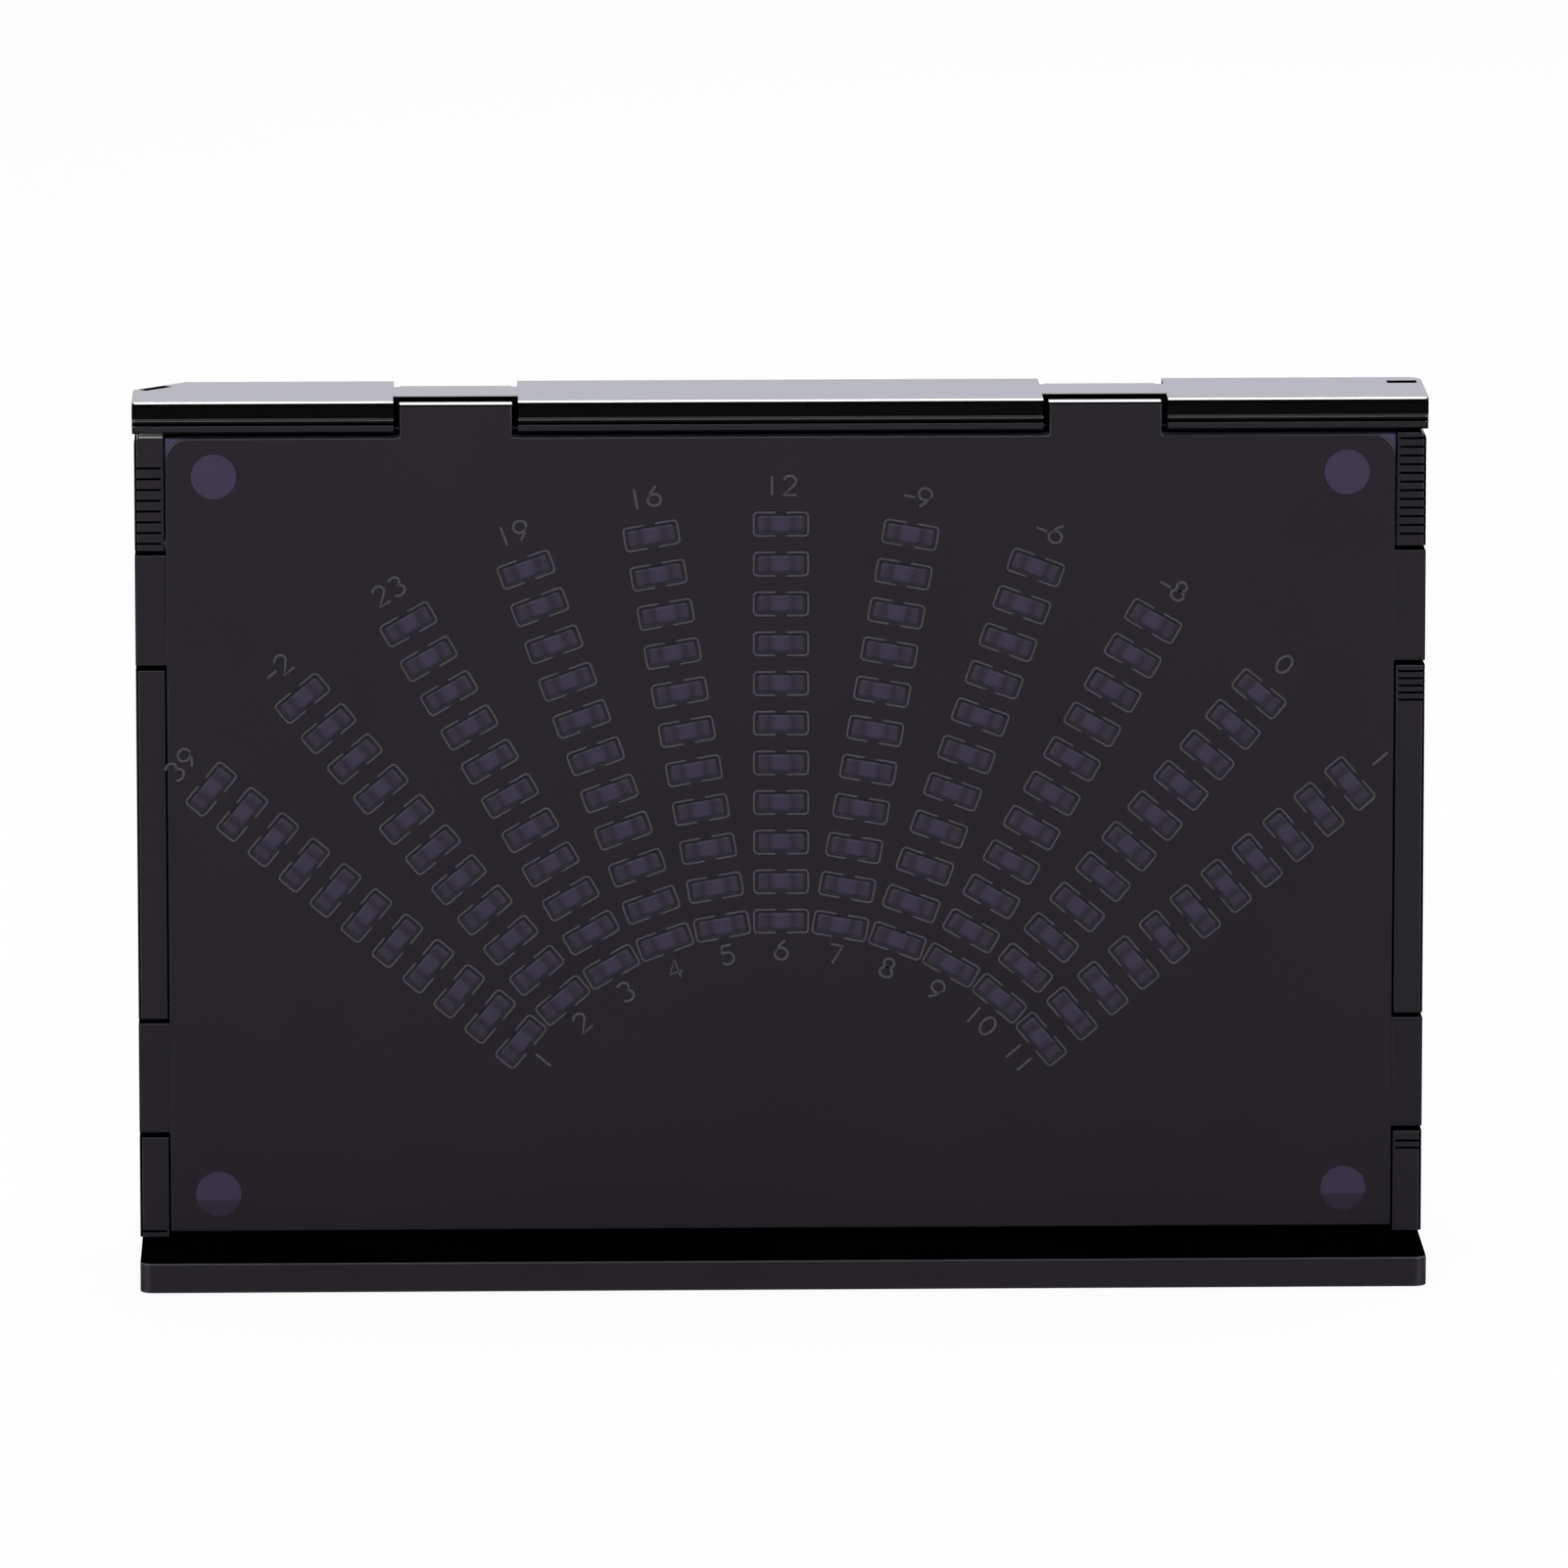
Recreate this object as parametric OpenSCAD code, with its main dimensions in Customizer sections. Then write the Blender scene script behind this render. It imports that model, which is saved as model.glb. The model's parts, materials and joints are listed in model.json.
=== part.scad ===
// Fleet guessing case: an upright box on a wide foot. Its front panel shows 121 windows in a fan,
// and swings up on two hinge tabs to reach the fleet board. Two latches and four storage drawers
// make up the sides.
// Millimetres. +Z is up, the front faces -Y, and the origin is under the middle of the foot.

/* [Front panel] */
// Width of the panel between its side tabs
panel_w = 322; // [316:1:330]
// Height of the panel below its top tabs
panel_h = 211.5; // [209:0.5:218]
// Radius of the panel's two top corners
panel_corner_r = 6; // [3:0.5:8]
// Thickness of the black skin
skin_t = 3; // [2.6:0.2:3.4]
// Thickness of the purple sheet behind the skin
sheet_t = 2.2; // [2:0.1:2.6]
// Thickness of the ring that holds the sheet
retainer_t = 2; // [1.8:0.1:2.2]
// Width of the ring at its two sides
retainer_side = 5.5; // [5:0.1:6]
// Height of the ring's bottom bar
retainer_foot = 8.3; // [7:0.1:9]
// Height of the ring's top bar
retainer_head = 3.5; // [3:0.1:4]
// Diameter of the four corner discs
disc_d = 12; // [10:0.5:12]
// From a disc's centre to the panel's side edge
disc_side = 12.6; // [12:0.1:13.5]
// From a disc's centre to the panel's top or bottom edge
disc_end = 10; // [9:0.5:12]

/* [Fan of windows] */
// Number of columns
fan_columns = 11; // [9:2:11]
// Number of rings
fan_rings = 11; // [8:1:11]
// From the middle column's last window up to the panel's top edge
fan_top_margin = 23.2; // [20:0.1:26]
// From an end column's last window to the panel's side edge
fan_side_margin = 11.4; // [9:0.1:13]
// How far the fan's centre lies under the panel's bottom edge
apex_drop = 7; // [5:0.5:9]
// Length of a window, across its column
window_w = 13.6; // [12.6:0.1:13.8]
// Height of a window, along its column
window_h = 5.5; // [5:0.1:6]
// Corner radius of a window
window_r = 0.9; // [0.4:0.1:1.2]
// Skin left between two windows of the innermost ring
window_web = 2; // [1.6:0.1:2.6]
// Gap between a marker's end and its window
marker_end_gap = 0.8; // [0.5:0.05:1]
// Gap between a marker's long side and its window
marker_side_gap = 0.65; // [0.4:0.05:0.8]
// How far a marker's flat ends lie below the skin's face
marker_recess = 0.8; // [0.6:0.1:1.2]
// Height of the rounded ridge across the middle of a marker
marker_ridge = 0.5; // [0.3:0.1:0.6]
// Thickness of the strip that carries a column's markers
strip_t = 1.2; // [1:0.1:1.4]

/* [Tabs] */
// Length of every tab
tab_l = 29.4; // [26:0.2:32]
// Depth of every tab
tab_d = 9.5; // [9:0.1:10]
// Gap at both ends of a side tab
tab_gap = 1.2; // [0.8:0.1:1.6]
// Gap at both ends of a top tab
top_tab_gap = 1.6; // [1:0.1:2]
// How far the side tabs' faces lie behind the panel's face
tab_back = 0.4; // [0.1:0.1:0.8]
// From the middle of the case to the middle of a top tab
top_tab_x = 85; // [75:1:95]
// From the panel's top edge to the middle of the upper side tabs
upper_tab_z = 45.5; // [44:0.5:50]
// From the panel's bottom edge to the middle of the lower side tabs
lower_tab_z = 41.2; // [40:0.2:46]
// How far the top tabs stay below the rail's top
tab_drop = 1.35; // [1:0.05:1.5]
// Radius of the fillets where a top tab rises from the panel
tab_fillet_r = 0.6; // [0.3:0.1:0.8]

/* [Case] */
// Depth of the case, front face to rear face
case_d = 36; // [34:0.5:42]
// Gap between the panel and the pieces beside it
side_gap = 0.5; // [0.4:0.1:1]
// Thickness of the side pieces
side_t = 7.7; // [7:0.1:9]
// Height of the top rail
rail_h = 8.4; // [8:0.1:9]
// Gap between the rail and the panel's top edge
rail_gap = 1.3; // [1.2:0.05:1.5]
// How far the rail stands out past the side pieces
rail_over = 0.5; // [0:0.1:1]
// Radius of the case's two rear corners
rear_corner_r = 5; // [3:0.5:6]
// Radius of the case's two front corners
front_corner_r = 1.2; // [0.5:0.1:2]
// Length of the slanted cut across the rail's rear left corner
rail_cut = 14; // [8:0.5:16]
// Wall of the inner shell
shell_wall = 2.7; // [2.2:0.1:3]
// Floor of the inner shell
shell_floor = 4; // [3.5:0.1:5]
// Ceiling of the inner shell
shell_ceiling = 3; // [2.6:0.1:3.4]
// Thickness of the rear cover
cover_t = 3; // [2.6:0.1:3.4]

/* [Foot] */
// Thickness of the foot plate
foot_t = 7.8; // [7:0.1:10]
// How far the foot reaches past the case, front and rear
foot_reach = 30; // [24:1:40]
// How much narrower than the case the foot is at each end
foot_inset = 0.5; // [0:0.1:2]
// Radius of the foot's upright corners
foot_corner_r = 3.3; // [2:0.1:6]
// Gap between the foot and the panel's bottom edge
foot_gap = 2.4; // [2:0.1:3.5]
// Thickness of the rubber pads
pad_t = 1.2; // [1:0.1:1.6]
// How far the pads stand out below the foot
pad_proud = 0.4; // [0.3:0.1:0.8]

/* [Hinge and latches] */
// Diameter of the hinge pins
hinge_pin_d = 3; // [2.4:0.1:3]
// From the front face back to the hinge axis
hinge_y = 3.2; // [3.1:0.05:3.3]
// From the rail's top down to the hinge axis
hinge_z = 5.4; // [5.3:0.05:5.5]
// How deep each end of a hinge pin sits in the rail
hinge_seat = 8; // [6:0.5:10]
// Diameter of the latch pins
latch_pin_d = 1.8; // [1.6:0.1:2.2]
// From a latch's outer and top faces in to its pin
latch_pin_inset = 2; // [1.9:0.1:2.6]
// Depth of a latch, front to rear
latch_d = 16; // [14:0.5:18]
// How far a latch pin reaches into the case behind the latch
latch_seat = 10; // [8:0.5:12]
// Radial play of a turning fit
turn_play = 0.05; // [0.02:0.01:0.08]
// Gap between closed pieces that face each other
rest_gap = 0.3; // [0.2:0.05:0.4]

/* [Fleet board] */
// From the front face back to the board
board_y = 16; // [15.5:0.1:16.5]
// Thickness of the board
board_t = 2.5; // [2:0.1:2.8]
// Diameter of the peg holes
hole_d = 3.4; // [3:0.1:3.8]
// Play between a peg and its hole, in diameter
peg_play = 0.2; // [0.1:0.05:0.4]
// Width of a ship
ship_w = 8; // [6:0.5:9]
// Height of a ship's hull over the board
hull_h = 3.6; // [3:0.1:4]
// Height of a ship's deck house
house_h = 2; // [1:0.1:2.2]

/* [Drawers] */
// Length of the ship drawers' trays
ship_tray_l = 60; // [50:1:64]
// Length of the peg drawers' trays
peg_tray_l = 66; // [56:1:72]
// Wall of a tray
tray_wall = 1.2; // [1:0.1:1.6]
// Running gap between a tray and its bay
tray_gap = 0.4; // [0.3:0.05:0.6]
// How far a tray stays inside its face's ends
tray_inset = 2.5; // [2.2:0.1:3.5]
// Thickness of the bay shelves
shelf_t = 2; // [1.6:0.1:2.4]
// Pegs stored in each peg drawer
stored_pegs = 8; // [4:1:8]

/* [Grip ridges] */
// Depth of a grip groove
groove_d = 0.6; // [0.4:0.1:0.8]
// Width of a grip groove
groove_w = 0.6; // [0.5:0.1:1]
// How far the ends of a grip groove stay from the edges
groove_end = 0.7; // [0.5:0.1:1.2]
// Distance between the grooves on the left latch
left_groove_pitch = 2.85; // [2.4:0.05:3.2]
// Distance between the grooves on the right latch
right_groove_pitch = 2.3; // [2:0.05:2.35]
// Distance between the grooves on a drawer face
drawer_groove_pitch = 1.9; // [1.6:0.05:2.2]

/* [Hidden] */
$fn = 48;
eps = 0.01;
sides = [-1, 1];

// Widths and depths, from the middle of the case
panel_x = panel_w / 2;
side_x0 = panel_x + side_gap;
side_x1 = side_x0 + side_t;
rail_x = side_x1 + rail_over;
shell_x = side_x0 - rest_gap;
shell_in_x = shell_x - shell_wall;
front_y = -case_d / 2;
rear_y = case_d / 2;
door_t = skin_t + sheet_t + retainer_t;
shell_y0 = front_y + door_t + rest_gap;
shell_y1 = rear_y - cover_t;
notch_d = tab_d + 1;
notch_x = tab_l / 2 + top_tab_gap;
foot_y = case_d / 2 + foot_reach;
foot_x = side_x1 - foot_inset;

// Heights, from the table
foot_z1 = pad_proud + foot_t;
panel_z0 = foot_z1 + foot_gap;
panel_z1 = panel_z0 + panel_h;
rail_z0 = panel_z1 + rail_gap;
rail_z1 = rail_z0 + rail_h;
tab_z1 = rail_z1 - tab_drop;
axis_y = front_y + hinge_y;
axis_z = rail_z1 - hinge_z;
hinge_reach = notch_x + hinge_seat;
apex_z = panel_z0 - apex_drop;

// Fan: the last ring reaches up to the top margin, and the columns spread to the side margins
outer_ring_r = panel_z1 - fan_top_margin - apex_z;
fan_half_angle = asin((panel_x - fan_side_margin) / outer_ring_r);
fan_step = 2 * fan_half_angle / (fan_columns - 1);
inner_ring_r = (window_w + window_web) / (2 * sin(fan_step / 2));
ring_pitch = (outer_ring_r - inner_ring_r) / (fan_rings - 1);

// Tabs and inner heights
upper_tab = [panel_z1 - upper_tab_z - tab_l / 2, panel_z1 - upper_tab_z + tab_l / 2];
lower_tab = [panel_z0 + lower_tab_z - tab_l / 2, panel_z0 + lower_tab_z + tab_l / 2];
ceiling_z = rail_z0 - shell_ceiling;
floor_z = foot_z1 + shell_floor;

// Side pieces between the tabs, each as its lowest and highest point
side_end_gap = 0.9;
latch_z = [upper_tab[1] + tab_gap, rail_z0 - side_end_gap];
ship_face_z = [lower_tab[1] + tab_gap, upper_tab[0] - tab_gap];
peg_face_z = [foot_z1 + side_end_gap, lower_tab[0] - tab_gap];

// Latches turn on a pin near their outer top corner, which is rounded about it. Their inner top corner
// is trimmed to a circle about the pin, so that it turns within half of the gap to the panel.
latch_pin_x = side_x1 - latch_pin_inset;
latch_axis_z = latch_z[1] - latch_pin_inset;
latch_turn_r = latch_pin_x - side_x0 + side_gap / 2;
latch_skin = 3.5;
latch_bore_y = front_y + latch_skin;
latch_relief = latch_turn_r + rest_gap;
nose_play = 0.25;
nose_reach = side_gap - nose_play;
nose_y = 1.5;
nose_d = 2;
nose_rise = 2;
nose_h = 3;

// The peg drawers' trays and the roof over them
apron_t = 1.6;
peg_tray_y = [shell_y0 + apron_t + tray_gap, shell_y1 - tray_gap];
peg_tray_z = [floor_z + tray_gap, peg_face_z[1] - tray_inset];
roof_z = [peg_tray_z[1] + tray_gap, peg_tray_z[1] + tray_gap + shelf_t];

// Fleet board, which stands on that roof
board_y0 = front_y + board_y;
board_y1 = board_y0 + board_t;
board_z0 = roof_z[1] + rest_gap;
board_x = shell_in_x - rest_gap;
board_z1 = ceiling_z - rest_gap;
peg_d = hole_d - peg_play;
post_d = 7;
post_x = 46;
post_end = 8;
post_bore = 8;
post_places = [for (s = sides) for (z = [board_z0 + post_end, board_z1 - post_end]) [s * post_x, z]];

// The ship drawers' trays
board_back_gap = 1;
ship_tray_y = [board_y1 + board_back_gap, shell_y1 - tray_gap];
ship_tray_z = [ship_face_z[0] + tray_inset, ship_face_z[1] - tray_inset];

// Screws: [head radius, head height, thread radius]
small_screw = [1.9, 1.2, 1];
large_screw = [2.9, 1.8, 1.5];
seat_gap = 0.1;
boss_w = 9;
boss_l = 12;
boss_rise = 40;
cover_screw_z = [floor_z + boss_rise + boss_w / 2, ceiling_z - boss_w / 2];
cover_screw_places = [for (s = sides) for (z = cover_screw_z) [s * (shell_in_x - boss_w / 2), z]];
foot_screw_side = 20.5;
rail_screw_side = 30.5;
rail_screw_back = 2;
door_screw_side = 70.5;
door_screw_end = 30;
base_screw_x = row(panel_x - foot_screw_side, 4);
rail_screw_x = row(panel_x - rail_screw_side, 4);
rail_screw_y = board_y1 + small_screw[0] + rail_screw_back;
door_screw_foot_x = row(panel_x - door_screw_side, 3);
door_screw_side_z = [for (z = row(panel_h / 2 - door_screw_end, 3)) (panel_z0 + panel_z1) / 2 + z];

// Places spread evenly from -reach to reach
function row(reach, count) = [for (i = [0 : count - 1]) reach * (2 * i / (count - 1) - 1)];

black = "#1d1b1f";
satin_black = "#28262b";
purple = "#423b50";
grey = "#5a5a60";
steel = "#9a9ca0";
rubber = "#151515";

strip_names = [for (c = [1 : fan_columns]) str("marker_strip_", c)];

// ---- helpers ----

// A box given by its lowest and highest value along each axis
module span(x, y, z)
    translate([x[0], y[0], z[0]]) cube([x[1] - x[0], y[1] - y[0], z[1] - z[0]]);

// A flat outline in X and Z, made a plate between two depths
module plate(y)
    translate([0, y[1], 0]) rotate([90, 0, 0]) linear_extrude(y[1] - y[0]) children();

// A rod along Y, between two depths
module rod_y(x, z, r, y)
    translate([x, y[0], z]) rotate([-90, 0, 0]) cylinder(r = r, h = y[1] - y[0]);

// A rod along X, between two ends
module rod_x(y, z, r, x)
    translate([x[0], y, z]) rotate([0, 90, 0]) cylinder(r = r, h = x[1] - x[0]);

// Right pieces are drawn at +X, and left ones are their mirror image
module on_side(s)
    if (s > 0) children();
    else mirror([1, 0, 0]) children();

// Corner points of a rectangle round the origin, each corner rounded with short steps
function round_rect(w, h, r, steps = 3) =
    [for (q = [0 : 3]) for (i = [0 : steps])
        let (a = 90 * q + 90 * i / steps,
             sx = (q == 0 || q == 3) ? 1 : -1,
             sy = q < 2 ? 1 : -1)
        [sx * (w / 2 - r) + r * cos(a), sy * (h / 2 - r) + r * sin(a)]];

// A place in the fan: column 1 is at the left, ring 1 is the innermost
module at_cell(column, ring)
    translate([0, 0, apex_z]) rotate([0, column_angle(column), 0])
        translate([0, 0, ring_r(ring)]) children();
module at_cell_flat(column, ring)
    translate([0, apex_z]) rotate(-column_angle(column))
        translate([0, ring_r(ring)]) children();
function column_angle(column) = (column - (fan_columns + 1) / 2) * fan_step;
function ring_r(ring) = inner_ring_r + (ring - 1) * ring_pitch;

// The case seen from above: small front corners and rounded rear corners
module case_plan(x)
    difference() {
        translate([-x, front_y]) square([2 * x, case_d]);
        for (s = sides) corner_cut(s, x, rear_y, rear_corner_r);
        for (s = sides) corner_cut(s, x, front_y, front_corner_r);
    }

// What rounding a corner at (s * x, y) takes away
module corner_cut(s, x, y, r)
    translate([s * x, y]) difference() {
        square(2 * r, center = true);
        translate([-s * r, -sign(y) * r]) circle(r);
    }

// The cross in a screw's head: half length, depth and half width, as shares of the head
cross_r = 0.6;
cross_d = 0.5;
cross_w = 0.12;

// A screw along -Y: its head's outer face is at the origin, and its thread points to -Y
module screw(kind, length) {
    head_r = kind[0];
    head_h = kind[1];
    thread_r = kind[2];
    difference() {
        union() {
            rod_y(0, 0, head_r, [-head_h, 0]);
            rod_y(0, 0, thread_r, [-length, -head_h + eps]);
        }
        for (a = [0, 90]) rotate([0, a, 0])
            span([-cross_r, cross_r] * head_r, [-cross_d * head_h, eps], [-cross_w, cross_w] * head_r);
    }
}

// The space that a screw's thread fills, and its head's seat
module screw_space(kind, length) {
    rod_y(0, 0, kind[2], [-length, eps]);
    rod_y(0, 0, kind[0] + seat_gap, [-kind[1], eps]);
}

// ---- foot ----

pad_size = [30, 9];
pad_r = 3;
pad_inset = [24, 11];
pad_places = [for (x = row(foot_x - pad_inset[0], 3)) for (y = row(foot_y - pad_inset[1], 2)) [x, y]];
foot_screw_short = 0.6;
foot_screw_l = foot_t + shell_floor - foot_screw_short;

module foot_plate()
    color(satin_black) difference() {
        translate([0, 0, pad_proud]) linear_extrude(foot_t) difference() {
            square([2 * foot_x, 2 * foot_y], center = true);
            for (s = sides) for (t = sides) corner_cut(s, foot_x, t * foot_y, foot_corner_r);
        }
        for (p = pad_places) translate([p[0], p[1], pad_proud - eps])
            linear_extrude(pad_t - pad_proud + eps)
                polygon(round_rect(pad_size[0], pad_size[1], pad_r));
        for (x = base_screw_x) translate([x, 0, pad_proud]) rotate([-90, 0, 0])
            screw_space(large_screw, foot_t + 1);
    }

module foot_pads()
    color(rubber) for (p = pad_places) translate([p[0], p[1], 0])
        linear_extrude(pad_t) polygon(round_rect(pad_size[0], pad_size[1], pad_r));

module foot_screws()
    color(steel) for (x = base_screw_x) translate([x, 0, pad_proud]) rotate([-90, 0, 0])
        screw(large_screw, foot_screw_l);

// ---- shell ----

// The side walls' solid blocks behind the tabs and behind the latch
module side_lands(s)
    on_side(s) {
        for (tab = [upper_tab, lower_tab])
            span([shell_x - 1, side_x1], [front_y + notch_d, rear_y - notch_d], tab);
        span([shell_x - 1, side_x1 - rear_corner_r], [front_y + latch_d + rest_gap, shell_y1], latch_z);
        intersection() {
            span([shell_x, side_x1], [front_y + latch_d + rest_gap, rear_y], latch_z);
            translate([0, 0, latch_z[0]]) linear_extrude(latch_z[1] - latch_z[0]) case_plan(side_x1);
        }
    }

// Shelves above and below the ship drawer, with a stop wall at their inner ends
module ship_bay(s)
    on_side(s) {
        x = [shell_x - ship_tray_l - rest_gap - shelf_t, shell_in_x + 1];
        y = [ship_tray_y[0], shell_y1];
        span(x, y, [ship_tray_z[0] - tray_gap - shelf_t, ship_tray_z[0] - tray_gap]);
        span(x, y, [ship_tray_z[1] + tray_gap, ship_tray_z[1] + tray_gap + shelf_t]);
        span([x[0], x[0] + shelf_t], y, [ship_tray_z[0] - tray_gap - eps, ship_tray_z[1] + tray_gap + eps]);
    }

// The roof over the peg drawer, its stop wall, and the apron in front of both
module peg_bay(s)
    on_side(s) {
        inner = side_x0 - peg_tray_l - rest_gap;
        span([0, shell_in_x + 1], [shell_y0, shell_y1], roof_z);
        span([inner - shelf_t, inner], [shell_y0, shell_y1], [floor_z - 1, roof_z[0] + eps]);
        span([0, shell_in_x + 1], [shell_y0, shell_y0 + apron_t], [floor_z - 1, roof_z[0] + eps]);
    }

module tray_window(s, y, z)
    on_side(s) span([shell_in_x - eps, side_x1 + 1],
        [y[0] - tray_gap, y[1] + tray_gap + eps], [z[0] - tray_gap, z[1] + tray_gap]);

module case_shell()
    color(black) difference() {
        union() {
            difference() {
                span([-shell_x, shell_x], [shell_y0, shell_y1], [foot_z1, rail_z0]);
                span([-shell_in_x, shell_in_x], [shell_y0 - eps, shell_y1 + eps], [floor_z, ceiling_z]);
            }
            for (s = sides) {
                side_lands(s);
                ship_bay(s);
                peg_bay(s);
            }
            for (p = cover_screw_places) translate([p[0], 0, p[1]])
                span([-boss_w / 2, boss_w / 2 + eps], [shell_y1 - boss_l, shell_y1],
                    [-boss_w / 2, boss_w / 2]);
        }
        for (s = sides) {
            tray_window(s, ship_tray_y, ship_tray_z);
            tray_window(s, peg_tray_y, peg_tray_z);
            on_side(s) rod_y(latch_pin_x, latch_axis_z, latch_pin_d / 2,
                [front_y + latch_d, front_y + latch_d + latch_seat + rest_gap]);
            on_side(s) rod_y(latch_pin_x, latch_axis_z, latch_relief,
                [shell_y0 - eps, front_y + latch_d + rest_gap]);
            translate([s * top_tab_x, 0, 0])
                span([-notch_x, notch_x], [shell_y0 - eps, front_y + notch_d],
                    [ceiling_z - eps, rail_z0 + eps]);
        }
        for (p = cover_screw_places) translate([p[0], shell_y1 + cover_t, p[1]])
            screw_space(large_screw, cover_screw_l);
        for (x = rail_screw_x) translate([x, rail_screw_y, ceiling_z]) rotate([-90, 0, 0])
            rod_y(0, 0, small_screw[2], [-rail_screw_l, eps]);
        for (x = base_screw_x) translate([x, 0, pad_proud]) rotate([-90, 0, 0])
            rod_y(0, 0, large_screw[2], [-foot_screw_l, eps]);
    }

// ---- top rail ----

rail_lip_h = 0.9;
rail_edge = 0.4;
rail_bead_slope = 0.3;
rail_channel_d = 1.1;
rail_channel_z = [3.4, rail_h - rail_lip_h];
rail_groove_d = 0.6;
rail_groove_z = [2.05, 2.6];
rail_chamfer = 0.5;
mark_l = 7.8;
mark_w = 4.5;
mark_d = 0.8;
mark_end = 1.5;
mark_y = front_y + 27.5;
cut_mark_l = 9.5;
cut_mark_w = 3;
cut_mark_rim = 0.4;
rail_screw_bite = 4;
rail_screw_l = shell_ceiling + small_screw[1] + rail_screw_bite;

// Half of the rail's cross-section, front side, as [depth from the front face, height from its underside]
rail_front_points = [
    [rail_chamfer, 0], [0, rail_chamfer],
    [0, rail_groove_z[0]], [rail_groove_d, rail_groove_z[0]],
    [rail_groove_d, rail_groove_z[1]], [0, rail_groove_z[1]],
    [0, rail_channel_z[0]], [rail_channel_d, rail_channel_z[0] + rail_bead_slope],
    [rail_channel_d, rail_channel_z[1]], [0, rail_channel_z[1]],
    [0, rail_h - rail_edge], [rail_edge, rail_h]];

module rail_section()
    polygon(concat(
        [for (p = rail_front_points) [front_y + p[0], p[1]]],
        [for (i = [len(rail_front_points) - 1 : -1 : 0])
            [rear_y - rail_front_points[i][0], rail_front_points[i][1]]]));

// Places at the slanted cut: X runs along the cut, and the rail lies on the -Y side
module at_rail_cut()
    translate([-rail_x, rear_y - rail_cut, 0]) rotate(45) children();

module top_rail()
    color(black) difference() {
        intersection() {
            translate([0, 0, rail_z0]) rotate([90, 0, 90])
                linear_extrude(2 * rail_x, center = true) rail_section();
            translate([0, 0, rail_z0 - 1]) linear_extrude(rail_h + 2) case_plan(rail_x);
        }
        for (s = sides) translate([s * top_tab_x, 0, 0]) {
            for (y = [[front_y - 1, front_y + notch_d], [rear_y - notch_d, rear_y + 1]])
                span([-notch_x, notch_x], y, [rail_z0 - 1, rail_z1 + 1]);
            rotate([90, 0, 90]) linear_extrude(2 * notch_x, center = true) polygon([
                [front_y + notch_d - eps, rail_z1 - rail_edge], [front_y + notch_d - eps, rail_z1 + eps],
                [front_y + notch_d + rail_edge, rail_z1 + eps]]);
            rod_x(axis_y, axis_z, hinge_pin_d / 2, [-hinge_reach, hinge_reach]);
        }
        at_rail_cut() {
            span([-rail_cut, 3 * rail_cut], [0, rail_cut], [rail_z0 - 1, rail_z1 + 1]);
            span([mark_end, mark_end + cut_mark_l], [-cut_mark_rim - cut_mark_w, -cut_mark_rim],
                [rail_z1 - mark_d, rail_z1 + 1]);
        }
        span([rail_x - mark_end - mark_l, rail_x - mark_end], [mark_y - mark_w / 2, mark_y + mark_w / 2],
            [rail_z1 - mark_d, rail_z1 + 1]);
        for (x = rail_screw_x) translate([x, rail_screw_y, ceiling_z]) rotate([-90, 0, 0])
            rod_y(0, 0, small_screw[2], [-rail_screw_l, eps]);
    }

module rail_screws()
    color(steel) for (x = rail_screw_x)
        translate([x, rail_screw_y, ceiling_z - small_screw[1]]) rotate([-90, 0, 0])
            screw(small_screw, rail_screw_l);

module hinge_pins()
    color(steel) for (s = sides)
        rod_x(axis_y, axis_z, hinge_pin_d / 2, [s * top_tab_x - hinge_reach, s * top_tab_x + hinge_reach]);

// ---- rear cover ----

cover_screw_l = 12;

module rear_cover()
    color(satin_black) difference() {
        union() {
            plate([rear_y - cover_t, rear_y]) translate([-panel_x, panel_z0]) square([panel_w, panel_h]);
            for (s = sides) {
                translate([s * top_tab_x, 0, 0])
                    span([-tab_l / 2, tab_l / 2], [rear_y - tab_d, rear_y], [rail_z0 + rest_gap, tab_z1]);
                translate([s * top_tab_x, 0, 0])
                    span([-tab_l / 2, tab_l / 2], [rear_y - cover_t, rear_y], [panel_z1 - eps, tab_z1]);
                intersection() {
                    union() for (tab = [upper_tab, lower_tab]) on_side(s) {
                        span([panel_x - eps, side_x1], [rear_y - cover_t, rear_y], tab);
                        span([side_x0, side_x1], [rear_y - tab_d, rear_y], tab);
                    }
                    linear_extrude(rail_z1) case_plan(side_x1);
                }
            }
            for (p = post_places) rod_y(p[0], p[1], post_d / 2, [board_y1, rear_y - cover_t / 2]);
        }
        for (p = cover_screw_places) translate([p[0], rear_y, p[1]]) screw_space(large_screw, cover_screw_l);
        for (p = post_places) rod_y(p[0], p[1], small_screw[2], [board_y1 - eps, board_y1 + post_bore]);
    }

module cover_screws()
    color(steel) for (p = cover_screw_places) translate([p[0], rear_y, p[1]])
        screw(large_screw, cover_screw_l);

// ---- fleet board and ships ----

module fleet_board()
    color(grey) difference() {
        plate([board_y0, board_y1]) difference() {
            translate([-board_x, board_z0]) square([2 * board_x, board_z1 - board_z0]);
            for (c = [1 : fan_columns]) for (r = [1 : fan_rings])
                at_cell_flat(c, r) circle(d = hole_d);
        }
        for (p = post_places) rod_y(p[0], p[1], small_screw[2], [board_y0 - 1, board_y1 + 1]);
    }

module board_screws()
    color(steel) for (p = post_places) translate([p[0], board_y0 - small_screw[1], p[1]])
        mirror([0, 1, 0]) screw(small_screw, board_screw_l);

board_screw_l = 8;

// Half width of a hull along its length, from 0 at the stern to 1 at the bow
function hull_half_w(t) = ship_w / 2 * sqrt(sin(180 * min(1, 0.12 + 0.88 * t))) * (t > 0.98 ? 0.3 : 1);

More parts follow.
